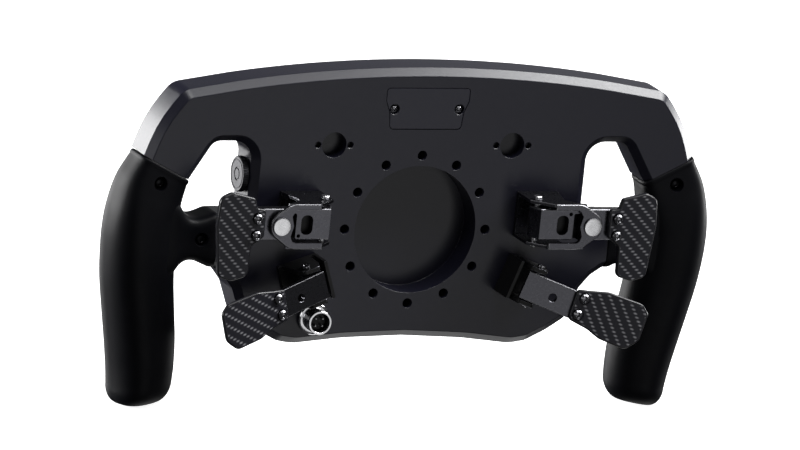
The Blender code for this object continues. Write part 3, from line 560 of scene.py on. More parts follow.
def threaded(radius, floor, mouth, pitch=0.8, depth=0.22):
    """The cutter of a tapped hole."""
    steps = [(radius - depth, floor)]
    for k in range(int((mouth - 0.8 - floor) / pitch)):
        steps += [(radius, floor + pitch * (k + 0.5)), (radius - depth, floor + pitch * (k + 1))]
    return steps + flared(radius, floor, mouth, 0.05)[1:]


def make_housing():
    outline = body_outline()
    soft = 0.22
    profile = [(0.5, FRONT), (0, FRONT + 0.5), (0, REAR - CHAMFER - soft),
               (0.35 * soft, REAR - CHAMFER + 0.35 * soft), (CHAMFER - 1.4 * soft, REAR - 1.4 * soft),
               (CHAMFER - 0.35 * soft, REAR - 0.35 * soft), (CHAMFER + soft, REAR)]
    bm = bmesh.new()
    add_loft(bm, [[along_y(p.x, p.y, depth) for p in inset(outline, by)] for by, depth in profile])
    housing = make_object("wheel_housing", bm, ["shell_black"])

    bm = bmesh.new()
    add_prism(bm, cavity_outline(), FRONT - 1, REAR - 4)
    for sign in SIDES.values():
        add_end_cuts(bm, sign, FRONT - 1, REAR + 1)
    cut(housing, bm)

    bm = bmesh.new()
    inner = REAR - 2
    add_prism(bm, circle((0, 0), 41), -2, inner)
    add_prism(bm, box_outline(-24, 24, 43, 72.4), 3, inner)
    for sign in SIDES.values():
        add_prism(bm, circle((sign * POCKET[0], POCKET[1]), 9), 5, inner)
        add_prism(bm, circle((sign * 62, -2), 3), 2.9, inner)
        for tongue in tongue_outlines():
            add_prism(bm, [(sign * p.x, p.y) for p in tongue], MID_DEPTH - 5, MID_DEPTH + 5)
    join(housing, bm)

    bm = bmesh.new()
    fillet = 0.2
    turns = [math.pi / 2 * k / 6 for k in range(7)]
    recess = [(RECESS_RADIUS - fillet * (1 - math.sin(a)), fillet * (1 - math.cos(a))) for a in turns]
    recess += [(RECESS_RADIUS, REAR - 0.05), (RECESS_RADIUS + 0.05, REAR), (RECESS_RADIUS + 0.05, REAR + 1)]
    add_turned(bm, recess, (0, 0), segments=120)
    for k in range(BOLT_COUNT):
        angle = math.tau * k / BOLT_COUNT
        place = (BOLT_CIRCLE / 2 * math.sin(angle), BOLT_CIRCLE / 2 * math.cos(angle))
        add_turned(bm, threaded(BOLT_RADIUS - 0.4, 4, REAR), place, segments=28)
    cut(housing, bm)

    bm = bmesh.new()
    add_prism(bm, inset(hatch_outline(), -0.2), REAR - 2.2, REAR + 1)
    add_turned(bm, flared(5.9, REAR - 5, REAR), CONNECTOR)
    add_turned(bm, [(2.8, THUMB_WALL - 7), (2.8, THUMB_WALL + 5)], THUMB_KNOB, along_x)
    for sign in SIDES.values():
        add_turned(bm, flared(6, 8, REAR, 0.05), (sign * POCKET[0], POCKET[1]), segments=64)
        for place in PLATE_SCREWS:
            add_prism(bm, circle((sign * place[0], place[1]), SCREW_HOLE, 16), FRONT - 1, 4)
        for place in grip_screw_places().values():
            add_prism(bm, circle((sign * place[0], place[1]), SCREW_HOLE, 16), 0.5, MID_DEPTH + 6)
    cut(housing, bm)

    bm = bmesh.new()
    add_prism(bm, box_outline(-12, 12, 50, 64), 4.5, REAR - 1)
    for sign in SIDES.values():
        add_prism(bm, circle((sign * HATCH_SCREW[0], HATCH_SCREW[1]), 1.3, 16), 5.5, REAR - 1)
        for step in (-8, 8):
            place = (sign * (POCKET[0] + step), POCKET[1])
            add_turned(bm, flared(1.5, REAR - 3, REAR, 0.2), place, segments=24)
    cut(housing, bm)
    show(housing, "rear_housing")


def make_front_plate():
    outline = inset(body_outline(), PLATE_INSET)
    bm = bmesh.new()
    add_plate(bm, outline, PLATE_FRONT, PLATE_BACK, edge=0.8, steps=4, side=1)
    plate = make_object("carbon_front_plate", bm, ["carbon_fibre", "carbon_edge"])
    bm = bmesh.new()
    low, high = PLATE_FRONT - 1, PLATE_BACK + 1

    def hole(x, z, radius, lip=0.35):
        steps = [(radius + lip, low), (radius + lip, PLATE_FRONT), (radius, PLATE_FRONT + lip),
                 (radius, high)]
        add_turned(bm, steps, (x, z), segments=64)

    for side_name, sign in SIDES.items():
        add_end_cuts(bm, sign, low, high)
        for number in range(1, 5):
            x, z = node_centre(f"button_{side_name}_{number}")
            hole(x, z, 5.8)
        for x, z in PLATE_SCREWS:
            seat = PLATE_FRONT + 2.6
            steps = [(3.2, low), (3.2, PLATE_FRONT), (2.9, PLATE_FRONT + 0.3), (2.9, seat), (1.5, seat),
                     (1.5, high)]
            add_turned(bm, steps, (sign * x, z), segments=32)
    for number in range(1, 4):
        x, z = node_centre(f"rotary_knob_{number}")
        hole(x, z, 3.4)
    cut(plate, bm)
    show(plate, "front_plate")


def node_centre(node):
    """The x and z of a node's middle."""
    low, high = node_box(node)
    return (low.x + high.x) / 2, (low.z + high.z) / 2


# ---------------------------------------------------------------- grips

# height, x, depth behind the rear face, half width, half thickness, squareness, tilt, seam slope
GRIP_STATIONS = [
    (28.25, 124.8, -10.0, 12.5, 10.7, 5.0, 0, 0.50),
    (24.0, 126.8, -10.0, 13.0, 10.9, 4.4, 1, 0.45),
    (17.0, 129.6, -10.1, 14.9, 12.0, 3.5, 4, 0.30),
    (9.0, 131.4, -10.1, 16.2, 13.3, 3.0, 8, 0.13),
    (0.0, 132.3, -10.3, 17.0, 14.3, 2.6, 11, 0.0),
    (-12.0, 132.0, -10.6, 17.2, 14.8, 2.5, 13, 0.0),
    (-26.0, 130.7, -11.4, 17.0, 14.9, 2.5, 14, 0.0),
    (-40.0, 128.4, -12.1, 16.6, 14.9, 2.5, 15, 0.0),
    (-54.0, 125.9, -12.9, 16.0, 14.8, 2.5, 15, -0.05),
    (-67.0, 124.2, -13.5, 15.0, 14.6, 2.5, 15, -0.10),
    (-75.5, 123.6, -13.8, 14.3, 14.2, 2.5, 15, -0.14),
]
GRIP_EASE = 0.99                # keeps the smooth grip inside the many-sided one of the CAD
GRIP_BUTT = (9.2, 0.42)         # height of the rounded butt, and how much of the section it takes in
# x, top, bottom, half thickness of the spoke's moulding
SPOKE_STATIONS = [
    (97.6, 6.8, -18.9, 10.4), (99.5, 6.8, -18.8, 10.5), (103, 5.4, -17.4, 10.2), (107, 4.4, -15.9, 10.0),
    (111, 5.2, -16.0, 10.1), (114.5, 8.3, -18.2, 10.6), (118, 13.0, -23.0, 11.2), (124, 15.0, -27.0, 11.2),
]


def smooth_rows(rows, per_step):
    """Points between the rows on a Catmull-Rom curve through each column."""
    made = []
    for i in range(len(rows) - 1):
        before, start, end, after = (rows[max(0, min(len(rows) - 1, k))] for k in (i - 1, i, i + 1, i + 2))
        for k in range(per_step):
            t = k / per_step
            made.append(tuple(0.5 * (2 * b + (c - a) * t + (2 * a - 5 * b + 4 * c - d) * t ** 2
                                     + (3 * b - a - 3 * c + d) * t ** 3)
                              for a, b, c, d in zip(before, start, end, after)))
    return made + [rows[-1]]


def grip_ring(station, share=1.0, count=96):
    height, x, depth, half_width, half_depth, power, tilt, slope = station
    share *= GRIP_EASE
    ring = superellipse(half_width * share, half_depth * share, power, math.radians(tilt), count)
    return [Vector((x + p, REAR + depth + q, height + slope * p)) for p, q in ring]


def make_grip(side_name, side):
    stations = smooth_rows(GRIP_STATIONS, 6)
    first = stations[0]
    down = seam_axes()[1]
    rings = []
    # a small bead runs round the grip where it meets the rim bar
    for drop, share in ((0, 0.955), (0.35, 0.985), (0.9, 1.0), (1.9, 1.0), (2.3, 0.985)):
        shift = Vector((down.x, 0, down.y)) * (GAP + drop)
        rings.append([p + shift for p in grip_ring(first, share)])
    rings += [grip_ring(station) for station in stations[6:]]
    height, taken = GRIP_BUTT
    last = stations[-1]
    for k in range(1, 9):
        angle = math.pi / 2 * k / 8
        share = 1 - taken * (1 - math.cos(angle))
        rings.append(grip_ring((last[0] - height * math.sin(angle), *last[1:]), share))
    for share in (0.4, 0.2):
        rings.append(grip_ring((last[0] - height, *last[1:]), share))
    bm = bmesh.new()
    add_loft(bm, rings)
    grip = make_object(f"rubber_grip_{side_name}", bm, ["grip_rubber"], side)

    bm = bmesh.new()
    spoke = []
    for x, top, bottom, half_depth in smooth_rows(SPOKE_STATIONS, 4):
        ring = superellipse((top - bottom) / 2, half_depth, 5.0, 0, 64)
        spoke.append([Vector((x, MID_DEPTH + q, (top + bottom) / 2 + p)) for p, q in ring])
    add_loft(bm, spoke)
    join(grip, bm, side)

    bm = bmesh.new()
    half = TONGUE[1] / 2 + GAP
    for tongue in tongue_outlines(GAP):
        add_prism(bm, tongue, MID_DEPTH - half, MID_DEPTH + half)
    cut(grip, bm, side)
    bm = bmesh.new()
    seat = REAR - 3.3
    for place in grip_screw_places().values():
        steps = [(1.5, MID_DEPTH), (1.5, seat), (2.9, seat), (2.9, REAR - 0.9), (3.3, REAR), (3.3, REAR + 6)]
        add_turned(bm, steps, place, segments=36)
    cut(grip, bm, side)
    show(grip, f"grip_{side_name}", sharp=40)


# ---------------------------------------------------------------- screws

def add_screw(bm, centre, head, top, tip, place=along_y, shank=1.2, knurl=0.09):
    """A socket cap screw: head is (radius, height), and top and tip are its two ends on the axis."""
    radius, height = head
    seat = top - height
    count = 48
    socket = 0.5 * radius
    outer = [(shank - 0.3, tip), (shank, tip + 0.4)]
    turn = 0.5
    for k in range(int((seat - tip - 0.8) / turn)):
        outer += [(shank - 0.16, tip + 0.4 + turn * (k + 0.5)), (shank, tip + 0.4 + turn * (k + 1))]
    chamfer = 0.32 * radius
    outer += [(shank, seat), (radius - 0.15, seat), (radius, seat + 0.15, knurl),
              (radius, top - chamfer, knurl), (radius - 0.1, top - chamfer + 0.05),
              (radius - chamfer - 0.05, top - 0.06), (radius - chamfer - 0.15, top), (1.2 * socket, top)]
    rings = turned_rings(outer, centre, place, count)
    for size, depth in ((1.0, top - 0.22), (1.0, top - 0.62 * height), (0.4, top - 0.72 * height)):
        ring = []
        for k in range(count):
            angle = math.tau * k / count
            reach = size * socket / math.cos((angle + math.pi / 6) % (math.pi / 3) - math.pi / 6)
            across, up = reach * math.cos(angle), reach * math.sin(angle)
            ring.append(place(centre[0] + across, centre[1] + up, depth))
        rings.append(ring)
    add_loft(bm, rings)


def make_screw(name, node, centre, side, head, top, tip, body=BODY, place=along_y, shank=1.2, matrix=None,
               look="screw_steel"):
    bm = bmesh.new()
    add_screw(bm, centre, head, top, tip, place, shank)
    screw = make_object(name, bm, [look], side)
    show(screw, node, body, sharp=28, matrix=matrix)


def paddle_screw_hole(floor, face):
    """The cutter of a paddle screw's hole, with a shallow seat for its head."""
    seat = face - 0.9
    return [(SCREW_HOLE, floor), (SCREW_HOLE, seat), (2.6, seat), (2.6, face - 0.2), (2.8, face),
            (2.8, face + 1)]


# ---------------------------------------------------------------- shifters

def shifter_face():
    return rounded([(58.5, SHIFT_HIGH), (72.5, SHIFT_HIGH, 8), (82.3, 11.6, 6), (82.3, 4.2, 6),
                    (72.5, SHIFT_LOW, 8), (56, SHIFT_LOW), (56, 0)])


def make_shifter(side_name, side):
    edge_looks = ["anodised_metal", "polished_edge"]
    bm = bmesh.new()
    add_plate(bm, box_outline(49, 69, GAP, 2.3), SHIFT_LOW, SHIFT_HIGH, flange, 0.2, 2)
    bracket = make_object(f"shifter_frame_{side_name}", bm, edge_looks, side)
    shoulder = SHIFT_FACE_TOP - 0.8
    cheek = [Vector(p) for p in ((49, GAP), (49, 16.6), (57.8, shoulder), (74, shoulder), (74, 23.6),
                                 (70, 21.5), (66, 17), (69, GAP))]
    for low, high in ((16.9, SHIFT_HIGH), (SHIFT_LOW, -1.4)):
        bm = bmesh.new()
        add_plate(bm, cheek, low, high, flange, 0.2, 2)
        join(bracket, bm, side)
    bm = bmesh.new()
    add_plate(bm, shifter_face(), SHIFT_FACE_TOP - 2.2, SHIFT_FACE_TOP, behind, 0.7, 4)
    join(bracket, bm, side)
    bm = bmesh.new()
    window = rounded([(45, 16.9), (58.6, 16.9), (58.6, 15.9), (70.5, 15.9, 2.5), (72.4, 12.6), (71.2, 8),
                      (72.4, 3.2), (71.2, 0, 2.5), (45, 0)])
    add_prism(bm, window, 23.0, 27.0, behind)
    add_prism(bm, circle(SHIFT_MAGNET, 3.6), 22.0, 28.0, behind)
    for low, high in ((16, 20), (-4, -1)):
        add_prism(bm, circle(SHIFT_PIVOT, PIN_HOLE, 24), low, high, flange)
    cut(bracket, bm, side)
    show(bracket, f"shifter_bracket_{side_name}")

    bm = bmesh.new()
    seat = SHIFT_HIGH + GAP
    pin = [(0.9, -4.0), (1.25, -3.7), (1.25, seat), (2.0, seat), (2.1, seat + 0.15), (2.1, seat + 0.6),
           (1.6, seat + 0.68), (1.6, seat + 0.82), (2.1, seat + 0.9), (2.1, 19.9), (1.8, 20.2)]
    add_turned(bm, pin, SHIFT_PIVOT, flange)
    pivot = make_object(f"shifter_pivot_pin_{side_name}", bm, ["magnet_nickel"], side)
    show(pivot, f"shifter_pin_{side_name}")

    bm = bmesh.new()
    top = SHIFT_FACE_TOP + 1.2
    disc = [(3.0, SHIFT_ARM_TOP + 0.7), (3.3, SHIFT_ARM_TOP + 1.0), (3.3, SHIFT_FACE_TOP + GAP),
            (4.1, SHIFT_FACE_TOP + GAP), (4.3, SHIFT_FACE_TOP + GAP + 0.15), (4.3, top - 0.35),
            (4.2, top - 0.12), (3.95, top), (2.0, top)]
    add_turned(bm, disc, SHIFT_MAGNET, behind, 72)
    magnet = make_object(f"magnet_disc_{side_name}", bm, ["magnet_nickel"], side)
    show(magnet, f"shifter_magnet_{side_name}")

    body = f"shifter_{side_name}"
    x0, w0 = SHIFT_PIVOT
    hub = [Vector((x0 + 3.4 * math.cos(a), w0 + 3.4 * math.sin(a)))
           for a in (math.radians(d) for d in range(165, 376, 10))]
    profile = hub + [Vector(p) for p in ((58.5, 17.0), (97, 17.0), (97, SHIFT_ARM_TOP),
                                         (52.3, SHIFT_ARM_TOP))]
    bm = bmesh.new()
    add_plate(bm, profile, 0.9, 15.5, flange, 0.75, 4)
    arm = make_object(f"shifter_lever_{side_name}", bm, edge_looks + ["deep_black_and_painted_shade"], side)
    bm = bmesh.new()
    add_prism(bm, circle(SHIFT_PIVOT, PIN_HOLE, 24), -1, 17, flange)
    slot = rounded([(60.7, 12.5, 2.6), (66.5, 12.5, 2.6), (66.5, 3.3, 2.6), (60.7, 3.3, 2.6)])
    add_prism(bm, slot, SHIFT_SLOT_FLOOR, 24, behind)
    add_prism(bm, circle((67.3, SHIFT_MAGNET[1] - side * 5.2), 0.9, 24), 19.6, 24, behind)
    crescent = rounded([(68.9, 13.4, 1), (72.6, 13.4, 1), (71.6, 8), (72.6, 2), (71.6, 0), (67.2, 0),
                        (68.9, 2)])
    add_prism(bm, crescent, SHIFT_SLOT_FLOOR, 24, behind)
    for place in SHIFT_SCREWS:
        add_prism(bm, circle(place, SCREW_HOLE, 24), 16, 24, behind)
    cut(arm, bm, side)
    # the floors of the slot and the crescent are painted deep black: painted shade down in the slots
    for face in arm.data.polygons:
        if abs(face.center.y / MM - REAR - SHIFT_SLOT_FLOOR) < 0.05:
            face.material_index = 2
    show(arm, f"shifter_arm_{side_name}", body)

    outline = rounded([(85.4, 15.9, 1.8), (89.9, 16.4, 1.5), (91.2, 21.1, 2), (103, 23.9, 4),
                       (108.6, 21.2, 4.5), (109.3, 8), (106.4, -15.8, 3), (99.5, -18, 4), (91.7, -15.6, 3),
                       (91.2, -1.4, 3), (85.4, 3.0, 2)])
    low, high = SHIFT_ARM_TOP + GAP, 25.9
    bm = bmesh.new()
    add_plate(bm, outline, low, high, behind, 0.9, 6, side=1)
    paddle = make_object(f"shifter_blade_{side_name}", bm, ["carbon_fibre", "carbon_edge"], side)
    bm = bmesh.new()
    for place in SHIFT_SCREWS:
        add_turned(bm, paddle_screw_hole(20, high), place, behind, 36)
    cut(paddle, bm, side)
    show(paddle, f"shifter_paddle_{side_name}", body)
    for number, place in enumerate(SHIFT_SCREWS, 1):
        make_screw(f"shifter_cap_screw_{side_name}_{number}", f"shifter_screw_{side_name}_{number}", place,
                   side, (2.2, 2.4), 27.7, 18.2, body, behind)


# ---------------------------------------------------------------- clutches

def clutch_matrix(side):
    """The tilted frame of a clutch arm: x along the arm, y out of its face, z across it."""
    droop, tilt = CLUTCH_DROOP, CLUTCH_TILT
    x_axis = (math.cos(tilt) * math.cos(droop), side * math.sin(tilt),
              -side * math.cos(tilt) * math.sin(droop))
    y_axis = (-side * math.sin(tilt) * math.cos(droop), math.cos(tilt),
              math.sin(tilt) * math.sin(droop))
    z_axis = (side * math.sin(droop), 0, math.cos(droop))
    matrix = Matrix((x_axis, y_axis, z_axis)).transposed().to_4x4()
    matrix.translation = Vector((side * CLUTCH_ORIGIN[0], REAR + CLUTCH_ORIGIN[2], CLUTCH_ORIGIN[1])) * MM
    return matrix


def make_clutch(side_name, side):
    matrix = clutch_matrix(side)
    edge_looks = ["anodised_metal", "polished_edge"]
    half_arm, ear_inner, ear_outer = 6.6, 7.1, 9.35
    low_t, high_t = CLUTCH_MIDDLE - ear_outer, CLUTCH_MIDDLE + ear_outer
    bm = bmesh.new()
    foot = [Vector(p) for p in ((-31.5, GAP), (-31.5, 15), (-30, 15), (-30, 2.3), (-12, 2.3), (-12, GAP))]
    add_plate(bm, foot, low_t, high_t, clutch_side, 0.2, 2)
    bracket = make_object(f"clutch_yoke_{side_name}", bm, ["deep_black_and_painted_shade", "anodised_metal"], side)
    ear = rounded([(-28.0, GAP), (-28.0, 13), (-26.4, 18.2, 1.5), (-18.6, 18.2, 2), (-16.5, 14, 1),
                   (-13.5, GAP)])
    for low in (low_t, CLUTCH_MIDDLE + ear_inner):
        bm = bmesh.new()
        add_plate(bm, ear, low, low + ear_outer - ear_inner, clutch_side, 0.35, 3)
        join(bracket, bm, side)
    bm = bmesh.new()
    for low in (low_t - 1, CLUTCH_MIDDLE + ear_inner - 1):
        add_prism(bm, circle(CLUTCH_PIVOT, PIN_HOLE, 24), low, low + 4.25, along_z)
    cut(bracket, bm, side)
    show(bracket, f"clutch_bracket_{side_name}", matrix=matrix)

    bm = bmesh.new()
    seat = high_t + GAP
    pin = [(0.95, low_t - 0.8), (1.25, low_t - 0.5), (1.25, seat), (1.9, seat), (2.0, seat + 0.15),
           (2.0, seat + 0.75), (1.6, seat + 1.0), (0.9, seat + 1.0), (0.7, seat + 0.7)]
    add_turned(bm, pin, CLUTCH_PIVOT, along_z)
    pivot = make_object(f"clutch_pivot_pin_{side_name}", bm, ["screw_steel"], side)
    show(pivot, f"clutch_pin_{side_name}", matrix=matrix)

    bm = bmesh.new()
    turns, per_turn, wire, radius, half_length = 5, 32, 0.42, 2.3, 2.7
    rings = []
    for k in range(turns * per_turn + 1):
        angle = math.tau * k / per_turn
        height = CLUTCH_MIDDLE - half_length + 2 * half_length * k / (turns * per_turn)
        ring = []
        for j in range(12):
            around = math.tau * j / 12
            reach = radius + wire * math.cos(around)
            ring.append(along_z(CLUTCH_PIVOT[0] + reach * math.cos(angle),
                                CLUTCH_PIVOT[1] + reach * math.sin(angle),
                                height + wire * math.sin(around)))
        rings.append(ring)
    add_loft(bm, rings)
    coil = make_object(f"clutch_coil_{side_name}", bm, ["screw_steel"], side)
    show(coil, f"clutch_spring_{side_name}", matrix=matrix)

    body = f"clutch_{side_name}"
    s0, n0 = CLUTCH_PIVOT
    knuckle = [Vector((s0 + 3.3 * math.cos(a), n0 + 3.3 * math.sin(a)))
               for a in (math.radians(d) for d in range(10, -191, -10))]
    blade_root = [Vector(p) for p in ((-28.2, 0), (6, 0), (6, -2.8), (-15.5, -2.8))]
    profile = blade_root + knuckle + [Vector((-28.2, -2.8))]
    bm = bmesh.new()
    add_plate(bm, profile, CLUTCH_MIDDLE - half_arm, CLUTCH_MIDDLE + half_arm, along_z, 0.4, 4)
    arm = make_object(f"clutch_lever_{side_name}", bm, edge_looks, side)
    bm = bmesh.new()
    spring_gap = box_outline(-27.4, -16.5, -12, -2.81)
    add_prism(bm, spring_gap, CLUTCH_MIDDLE - 3.6, CLUTCH_MIDDLE + 3.6, along_z)
    cut(arm, bm, side)
    bm = bmesh.new()
    for low in (-9, 2):
        start = CLUTCH_MIDDLE + low
        add_prism(bm, circle(CLUTCH_PIVOT, PIN_HOLE, 24), start, start + 7, along_z)
    add_turned(bm, flared(1.9, -4, 0, 0.2), (-13.5, -1.7))
    for place in CLUTCH_SCREWS:
        add_prism(bm, circle(place, SCREW_HOLE, 24), -4, 1)
    cut(arm, bm, side)
    show(arm, f"clutch_arm_{side_name}", body, matrix=matrix)

    outline = rounded([(-4.7, 6.6, 1.6), (0.5, 8.0), (9.8, 11.0, 6), (26.4, 11.8, 4), (30.6, 8.6, 3),
                       (31.6, -4.8, 5), (26.8, -10.9, 4), (13.5, -10.9, 8), (7.0, -8.9), (-3.0, -7.9, 1.6),
                       (-3.7, -4.5)])
    low, high = GAP, 2.5
    bm = bmesh.new()
    add_plate(bm, outline, low, high, edge=0.9, steps=6, side=1)
    paddle = make_object(f"clutch_blade_{side_name}", bm, ["carbon_fibre", "carbon_edge"], side)
    bm = bmesh.new()
    for place in CLUTCH_SCREWS:
        add_turned(bm, paddle_screw_hole(-1, high), place, segments=36)
    cut(paddle, bm, side)
    show(paddle, f"clutch_paddle_{side_name}", body, matrix=matrix)
    for number, place in enumerate(CLUTCH_SCREWS, 1):
        make_screw(f"clutch_cap_screw_{side_name}_{number}", f"clutch_screw_{side_name}_{number}", place,
                   side, (2.2, 2.0), 3.9, -2.4, body, matrix=matrix)


# ---------------------------------------------------------------- controls and fittings

def make_thumb_knob():
    back, top = THUMB_WALL + 0.5, KNOB_HIGH.x
    steps = [(2.5, THUMB_WALL - 9.3), (2.5, back), (8.0, back), (8.3, back + 0.3, 0.25),
             (8.3, top - 0.5, 0.25), (8.05, top - 0.2), (7.8, top), (7.1, top), (6.95, top - 0.25),
             (6.55, top - 0.25), (6.4, top), (3.2, top), (3.0, top - 0.4), (2.5, top - 0.4), (2.3, top),
             (0.8, top)]
    bm = bmesh.new()
    add_turned(bm, steps, THUMB_KNOB, along_x, 96)
    show(make_object("thumb_wheel", bm, ["knob_metal"]), "thumb_knob", "thumb_knob", sharp=25)


def make_button(side_name, number):
    node = f"button_{side_name}_{number}"
    face = node_box(node)[0].y
    steps = [(3.6, face + 0.35), (4.3, face + 0.12), (4.6, face), (4.95, face + 0.08), (5.25, face + 0.35),
             (5.4, face + 0.8), (5.4, FRONT + 0.1), (6.6, FRONT + 0.1), (6.6, FRONT + 1.1),
             (2.0, FRONT + 1.1), (2.0, -1.0)]
    bm = bmesh.new()
    add_turned(bm, steps, node_centre(node), segments=64)
    show(make_object(f"push_{node}", bm, ["black_plastic"]), node, node)


def make_rotary(number):
    node = f"rotary_knob_{number}"
    x, z = node_centre(node)
    top, skirt = node_box(node)[0].y, PLATE_FRONT
    steps = [(5.9, top + 0.25), (6.4, top), (7.2, top + 0.1), (7.6, top + 0.6), (7.8, top + 1.0, 0.4),
             (7.8, skirt - 3.6, 0.4), (7.5, skirt - 3.1), (8.2, skirt - 2.7), (8.6, skirt - 2.3),
             (8.6, skirt - 0.6), (8.4, skirt - GAP), (3.0, skirt - GAP), (3.0, FRONT + 0.1),
             (4.6, FRONT + 0.1), (4.6, FRONT + 1.6)]
    bm = bmesh.new()
    add_turned(bm, steps, (x, z), segments=72)
    knob = make_object(f"turning_knob_{number}", bm, ["anodised_metal", "pointer_white"])
    bm = bmesh.new()
    add_prism(bm, box_outline(x - 0.45, x + 0.45, z + 1.5, z + 5.6), top - 1, top + 0.6)
    cut(knob, bm)
    for face in knob.data.polygons:
        middle = face.center / MM
        if abs(middle.x - x) < 0.46 and middle.z > z + 1.4 and abs(middle.y - top - 0.6) < 0.05:
            face.material_index = 1
    show(knob, node, node, sharp=25)


def make_connector():
    rim, bore = 5.6, 4.6
    base, top = REAR + GAP, CONNECTOR_HIGH.y
    steps = [(bore, CONNECTOR_LOW.y), (rim, CONNECTOR_LOW.y), (rim, base), (7.2, base), (7.5, base + 0.3),
             (7.5, base + 1.9), (7.1, base + 2.3), (6.3, base + 2.5), (rim, base + 2.5)]
    pitch = 0.75
    for k in range(6):
        steps += [(rim - 0.14, base + 2.75 + pitch * k), (rim, base + 3.1 + pitch * k)]
    steps += [(rim - 0.3, top - 1.6), (rim, top - 1.3), (rim, top - 0.15), (rim - 0.15, top),
              (bore + 0.1, top), (bore, top - 0.1)]
    bm = bmesh.new()
    add_turned(bm, steps, CONNECTOR, segments=96, closed=True)
    show(make_object("connector_barrel", bm, ["chrome"]), "connector_shell", sharp=25)

    face = REAR + 5.5
    bm = bmesh.new()
    add_turned(bm, [(4.3, REAR - 6), (4.3, face - 0.3), (4.0, face), (1.0, face)], CONNECTOR)
    insert = make_object("connector_core", bm, ["deep_black_and_painted_shade", "magnet_nickel"])
    bm = bmesh.new()
    for dx in (-1.7, 1.7):
        for dz in (-1.7, 1.7):
            place = (CONNECTOR[0] + dx, CONNECTOR[1] + dz)
            pin = [(0.55, REAR + 4.5), (0.55, REAR + 7.9), (0.42, REAR + 8.2), (0.2, REAR + 8.3)]
            add_turned(bm, pin, place, segments=20)
    for pin_face in bm.faces:
        pin_face.material_index = 1
    join(insert, bm)
    show(insert, "connector_insert")


def make_hatch():
    bm = bmesh.new()
    outline = hatch_outline()
    rings = [(outline, REAR - 1.9), (outline, REAR - 0.3), (inset(outline, 0.1), REAR - 0.1),
             (inset(outline, 0.35), REAR)]
    add_loft(bm, [[along_y(p.x, p.y, depth) for p in ring] for ring, depth in rings])
    cover = make_object("hatch_lid", bm, ["hatch_black"])
    bm = bmesh.new()
    for sign in SIDES.values():
        add_turned(bm, flared(2.4, REAR - 3, REAR, 0.15), (sign * HATCH_SCREW[0], HATCH_SCREW[1]))
    cut(cover, bm)
    show(cover, "hatch_cover")
    for side_name, sign in SIDES.items():
        make_screw(f"hatch_cap_screw_{side_name}", f"hatch_screw_{side_name}", HATCH_SCREW, sign, (1.7, 1.7),
                   REAR - 0.2, 6.0, shank=1.0)


# ---------------------------------------------------------------- stage

STUDIO_REACH = 1.6              # metres from the wheel to each light
FLOOR_REACH = 60000.0           # millimetres from the middle of the floor to its edges
CAMERA_DISTANCE = 9.0           # metres; from much further off, the far clip hides the wheel
VIEW_WIDTH = 0.367              # metres across the picture, at the wheel
SENSOR_WIDTH = 36
# direction, width and height in metres, radiance
SOFTBOXES = {
    "overhead": ((-0.10, 0.30, 0.95), (0.9, 0.6), 2.8),
    "overhead_right": ((-0.66, 0.12, 0.74), (0.85, 0.85), 18.0),
    "overhead_spot": ((0.17, 0.38, 0.91), (0.35, 0.35), 11.0),
    "far_left": ((0.44, -0.89, 0.06), (0.6, 0.62), 10.0),
    "far_left_low": ((0.36, -0.88, -0.27), (0.7, 0.5), 2.5),
    "left_side": ((0.87, -0.44, 0.10), (1.05, 0.75), 14.0),
    "left_front": ((0.86, 0.36, 0.16), (0.6, 0.5), 1.6),
    "far_right": ((-0.96, -0.25, 0.02), (0.6, 0.5), 13.0),
    "behind_camera": ((-0.215, 0.95, -0.215), (0.9, 0.9), 0.78),
    "under": ((-0.39, -0.23, -0.89), (1.0, 1.0), 1.2),
    "far_side": ((-0.45, -0.86, 0.22), (1.0, 0.5), 0.25),
    "driver_side": ((-0.35, -0.92, -0.12), (1.0, 0.35), 3.0),
}


def softbox(name, direction, size, radiance):
    light = bpy.data.lights.new(name, "AREA")
    light.shape = "RECTANGLE"
    light.size, light.size_y = size
    light.energy = radiance * math.pi * size[0] * size[1]
    item = bpy.data.objects.new(name, light)
    item.location = Vector(direction).normalized() * STUDIO_REACH
    item.rotation_euler = (-item.location).to_track_quat("-Z", "Y").to_euler()
    item.visible_camera = False
    bpy.context.collection.objects.link(item)


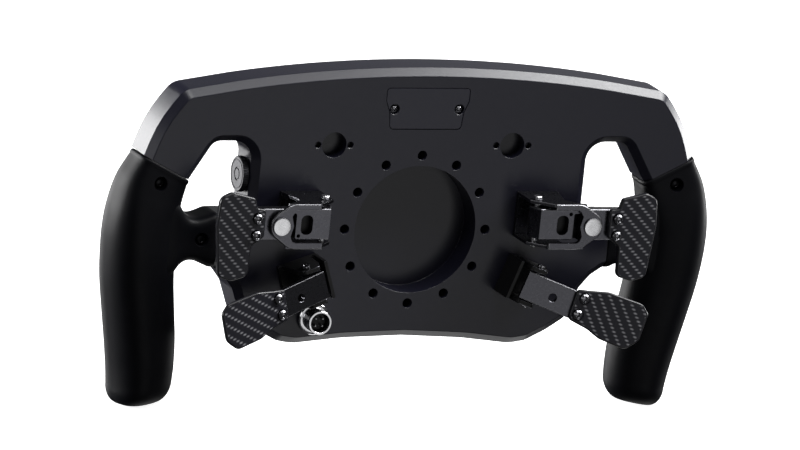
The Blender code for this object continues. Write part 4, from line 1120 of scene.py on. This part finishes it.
def make_stage():
    shade = Shade("studio_floor", (0.82, 0.82, 0.83), 0.9)
    shade.set("Emission Color", (1, 1, 1, 1))
    shade.set("Emission Strength", 0.9)
    shade.colour(shade.blend(shade.noise(400.0), (0.80, 0.80, 0.81), (0.84, 0.84, 0.85)))
    bm = bmesh.new()
    level = cad_bounds[0].z / MM - 0.5
    corners = [bm.verts.new((x * FLOOR_REACH, y * FLOOR_REACH, level))
               for x, y in ((-1, -1), (1, -1), (1, 1), (-1, 1))]
    bm.faces.new(corners)
    LOOKS["floor"] = shade.material
    floor = make_object("floor", bm, ["floor"])
    # the floor doesn't light the wheel, and lets the low softboxes through
    floor.visible_glossy = False
    floor.visible_diffuse = False
    floor.visible_shadow = False

    world = bpy.data.worlds.new("studio")
    world.use_nodes = True
    background = world.node_tree.nodes["Background"]
    background.inputs["Color"].default_value = (0.96, 0.97, 1.0, 1)
    background.inputs["Strength"].default_value = 0.04
    bpy.context.scene.world = world
    for name, (direction, size, radiance) in SOFTBOXES.items():
        softbox(name, direction, size, radiance)


def make_camera():
    """The camera looks from behind and to the driver's right, tipped a little."""
    towards = Vector((0.39, 0.891, 0.233)).normalized()
    up = Vector((0.001, -0.254, 0.967))
    right = up.cross(towards).normalized()
    up = towards.cross(right)
    target = Vector((0, REAR * MM, 0)) + right * -6.79 * MM + up * 2.02 * MM
    camera = bpy.data.cameras.new("camera")
    camera.sensor_width = SENSOR_WIDTH
    camera.lens = SENSOR_WIDTH * CAMERA_DISTANCE / VIEW_WIDTH
    item = bpy.data.objects.new("camera", camera)
    turn = Matrix((right, up, towards)).transposed().to_4x4()
    item.matrix_world = Matrix.Translation(target + towards * CAMERA_DISTANCE) @ turn
    bpy.context.collection.objects.link(item)
    bpy.context.scene.camera = item


make_camera()
make_stage()
make_housing()
make_front_plate()
make_hatch()
make_connector()
make_thumb_knob()
for side_name, side in SIDES.items():
    make_grip(side_name, side)
    for label, place in grip_screw_places().items():
        make_screw(f"grip_cap_screw_{label}_{side_name}", f"grip_screw_{label}_{side_name}", place, side,
                   (2.4, 2.2), REAR - 0.8, 1.0, look="screw_black")
    make_shifter(side_name, side)
    make_clutch(side_name, side)
    for number in range(1, 5):
        make_button(side_name, number)
    for number, place in enumerate(PLATE_SCREWS, 1):
        make_screw(f"plate_cap_screw_{side_name}_{number}", f"plate_screw_{side_name}_{number}", place,
                   side, (2.5, 2.0), -0.3, -8.5, place=facing_driver)
for number in range(1, 4):
    make_rotary(number)

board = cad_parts["circuit_board"]
board.data.materials.clear()
board.data.materials.append(LOOKS["circuit_board"])

bpy.context.scene.view_settings.view_transform = "Standard"
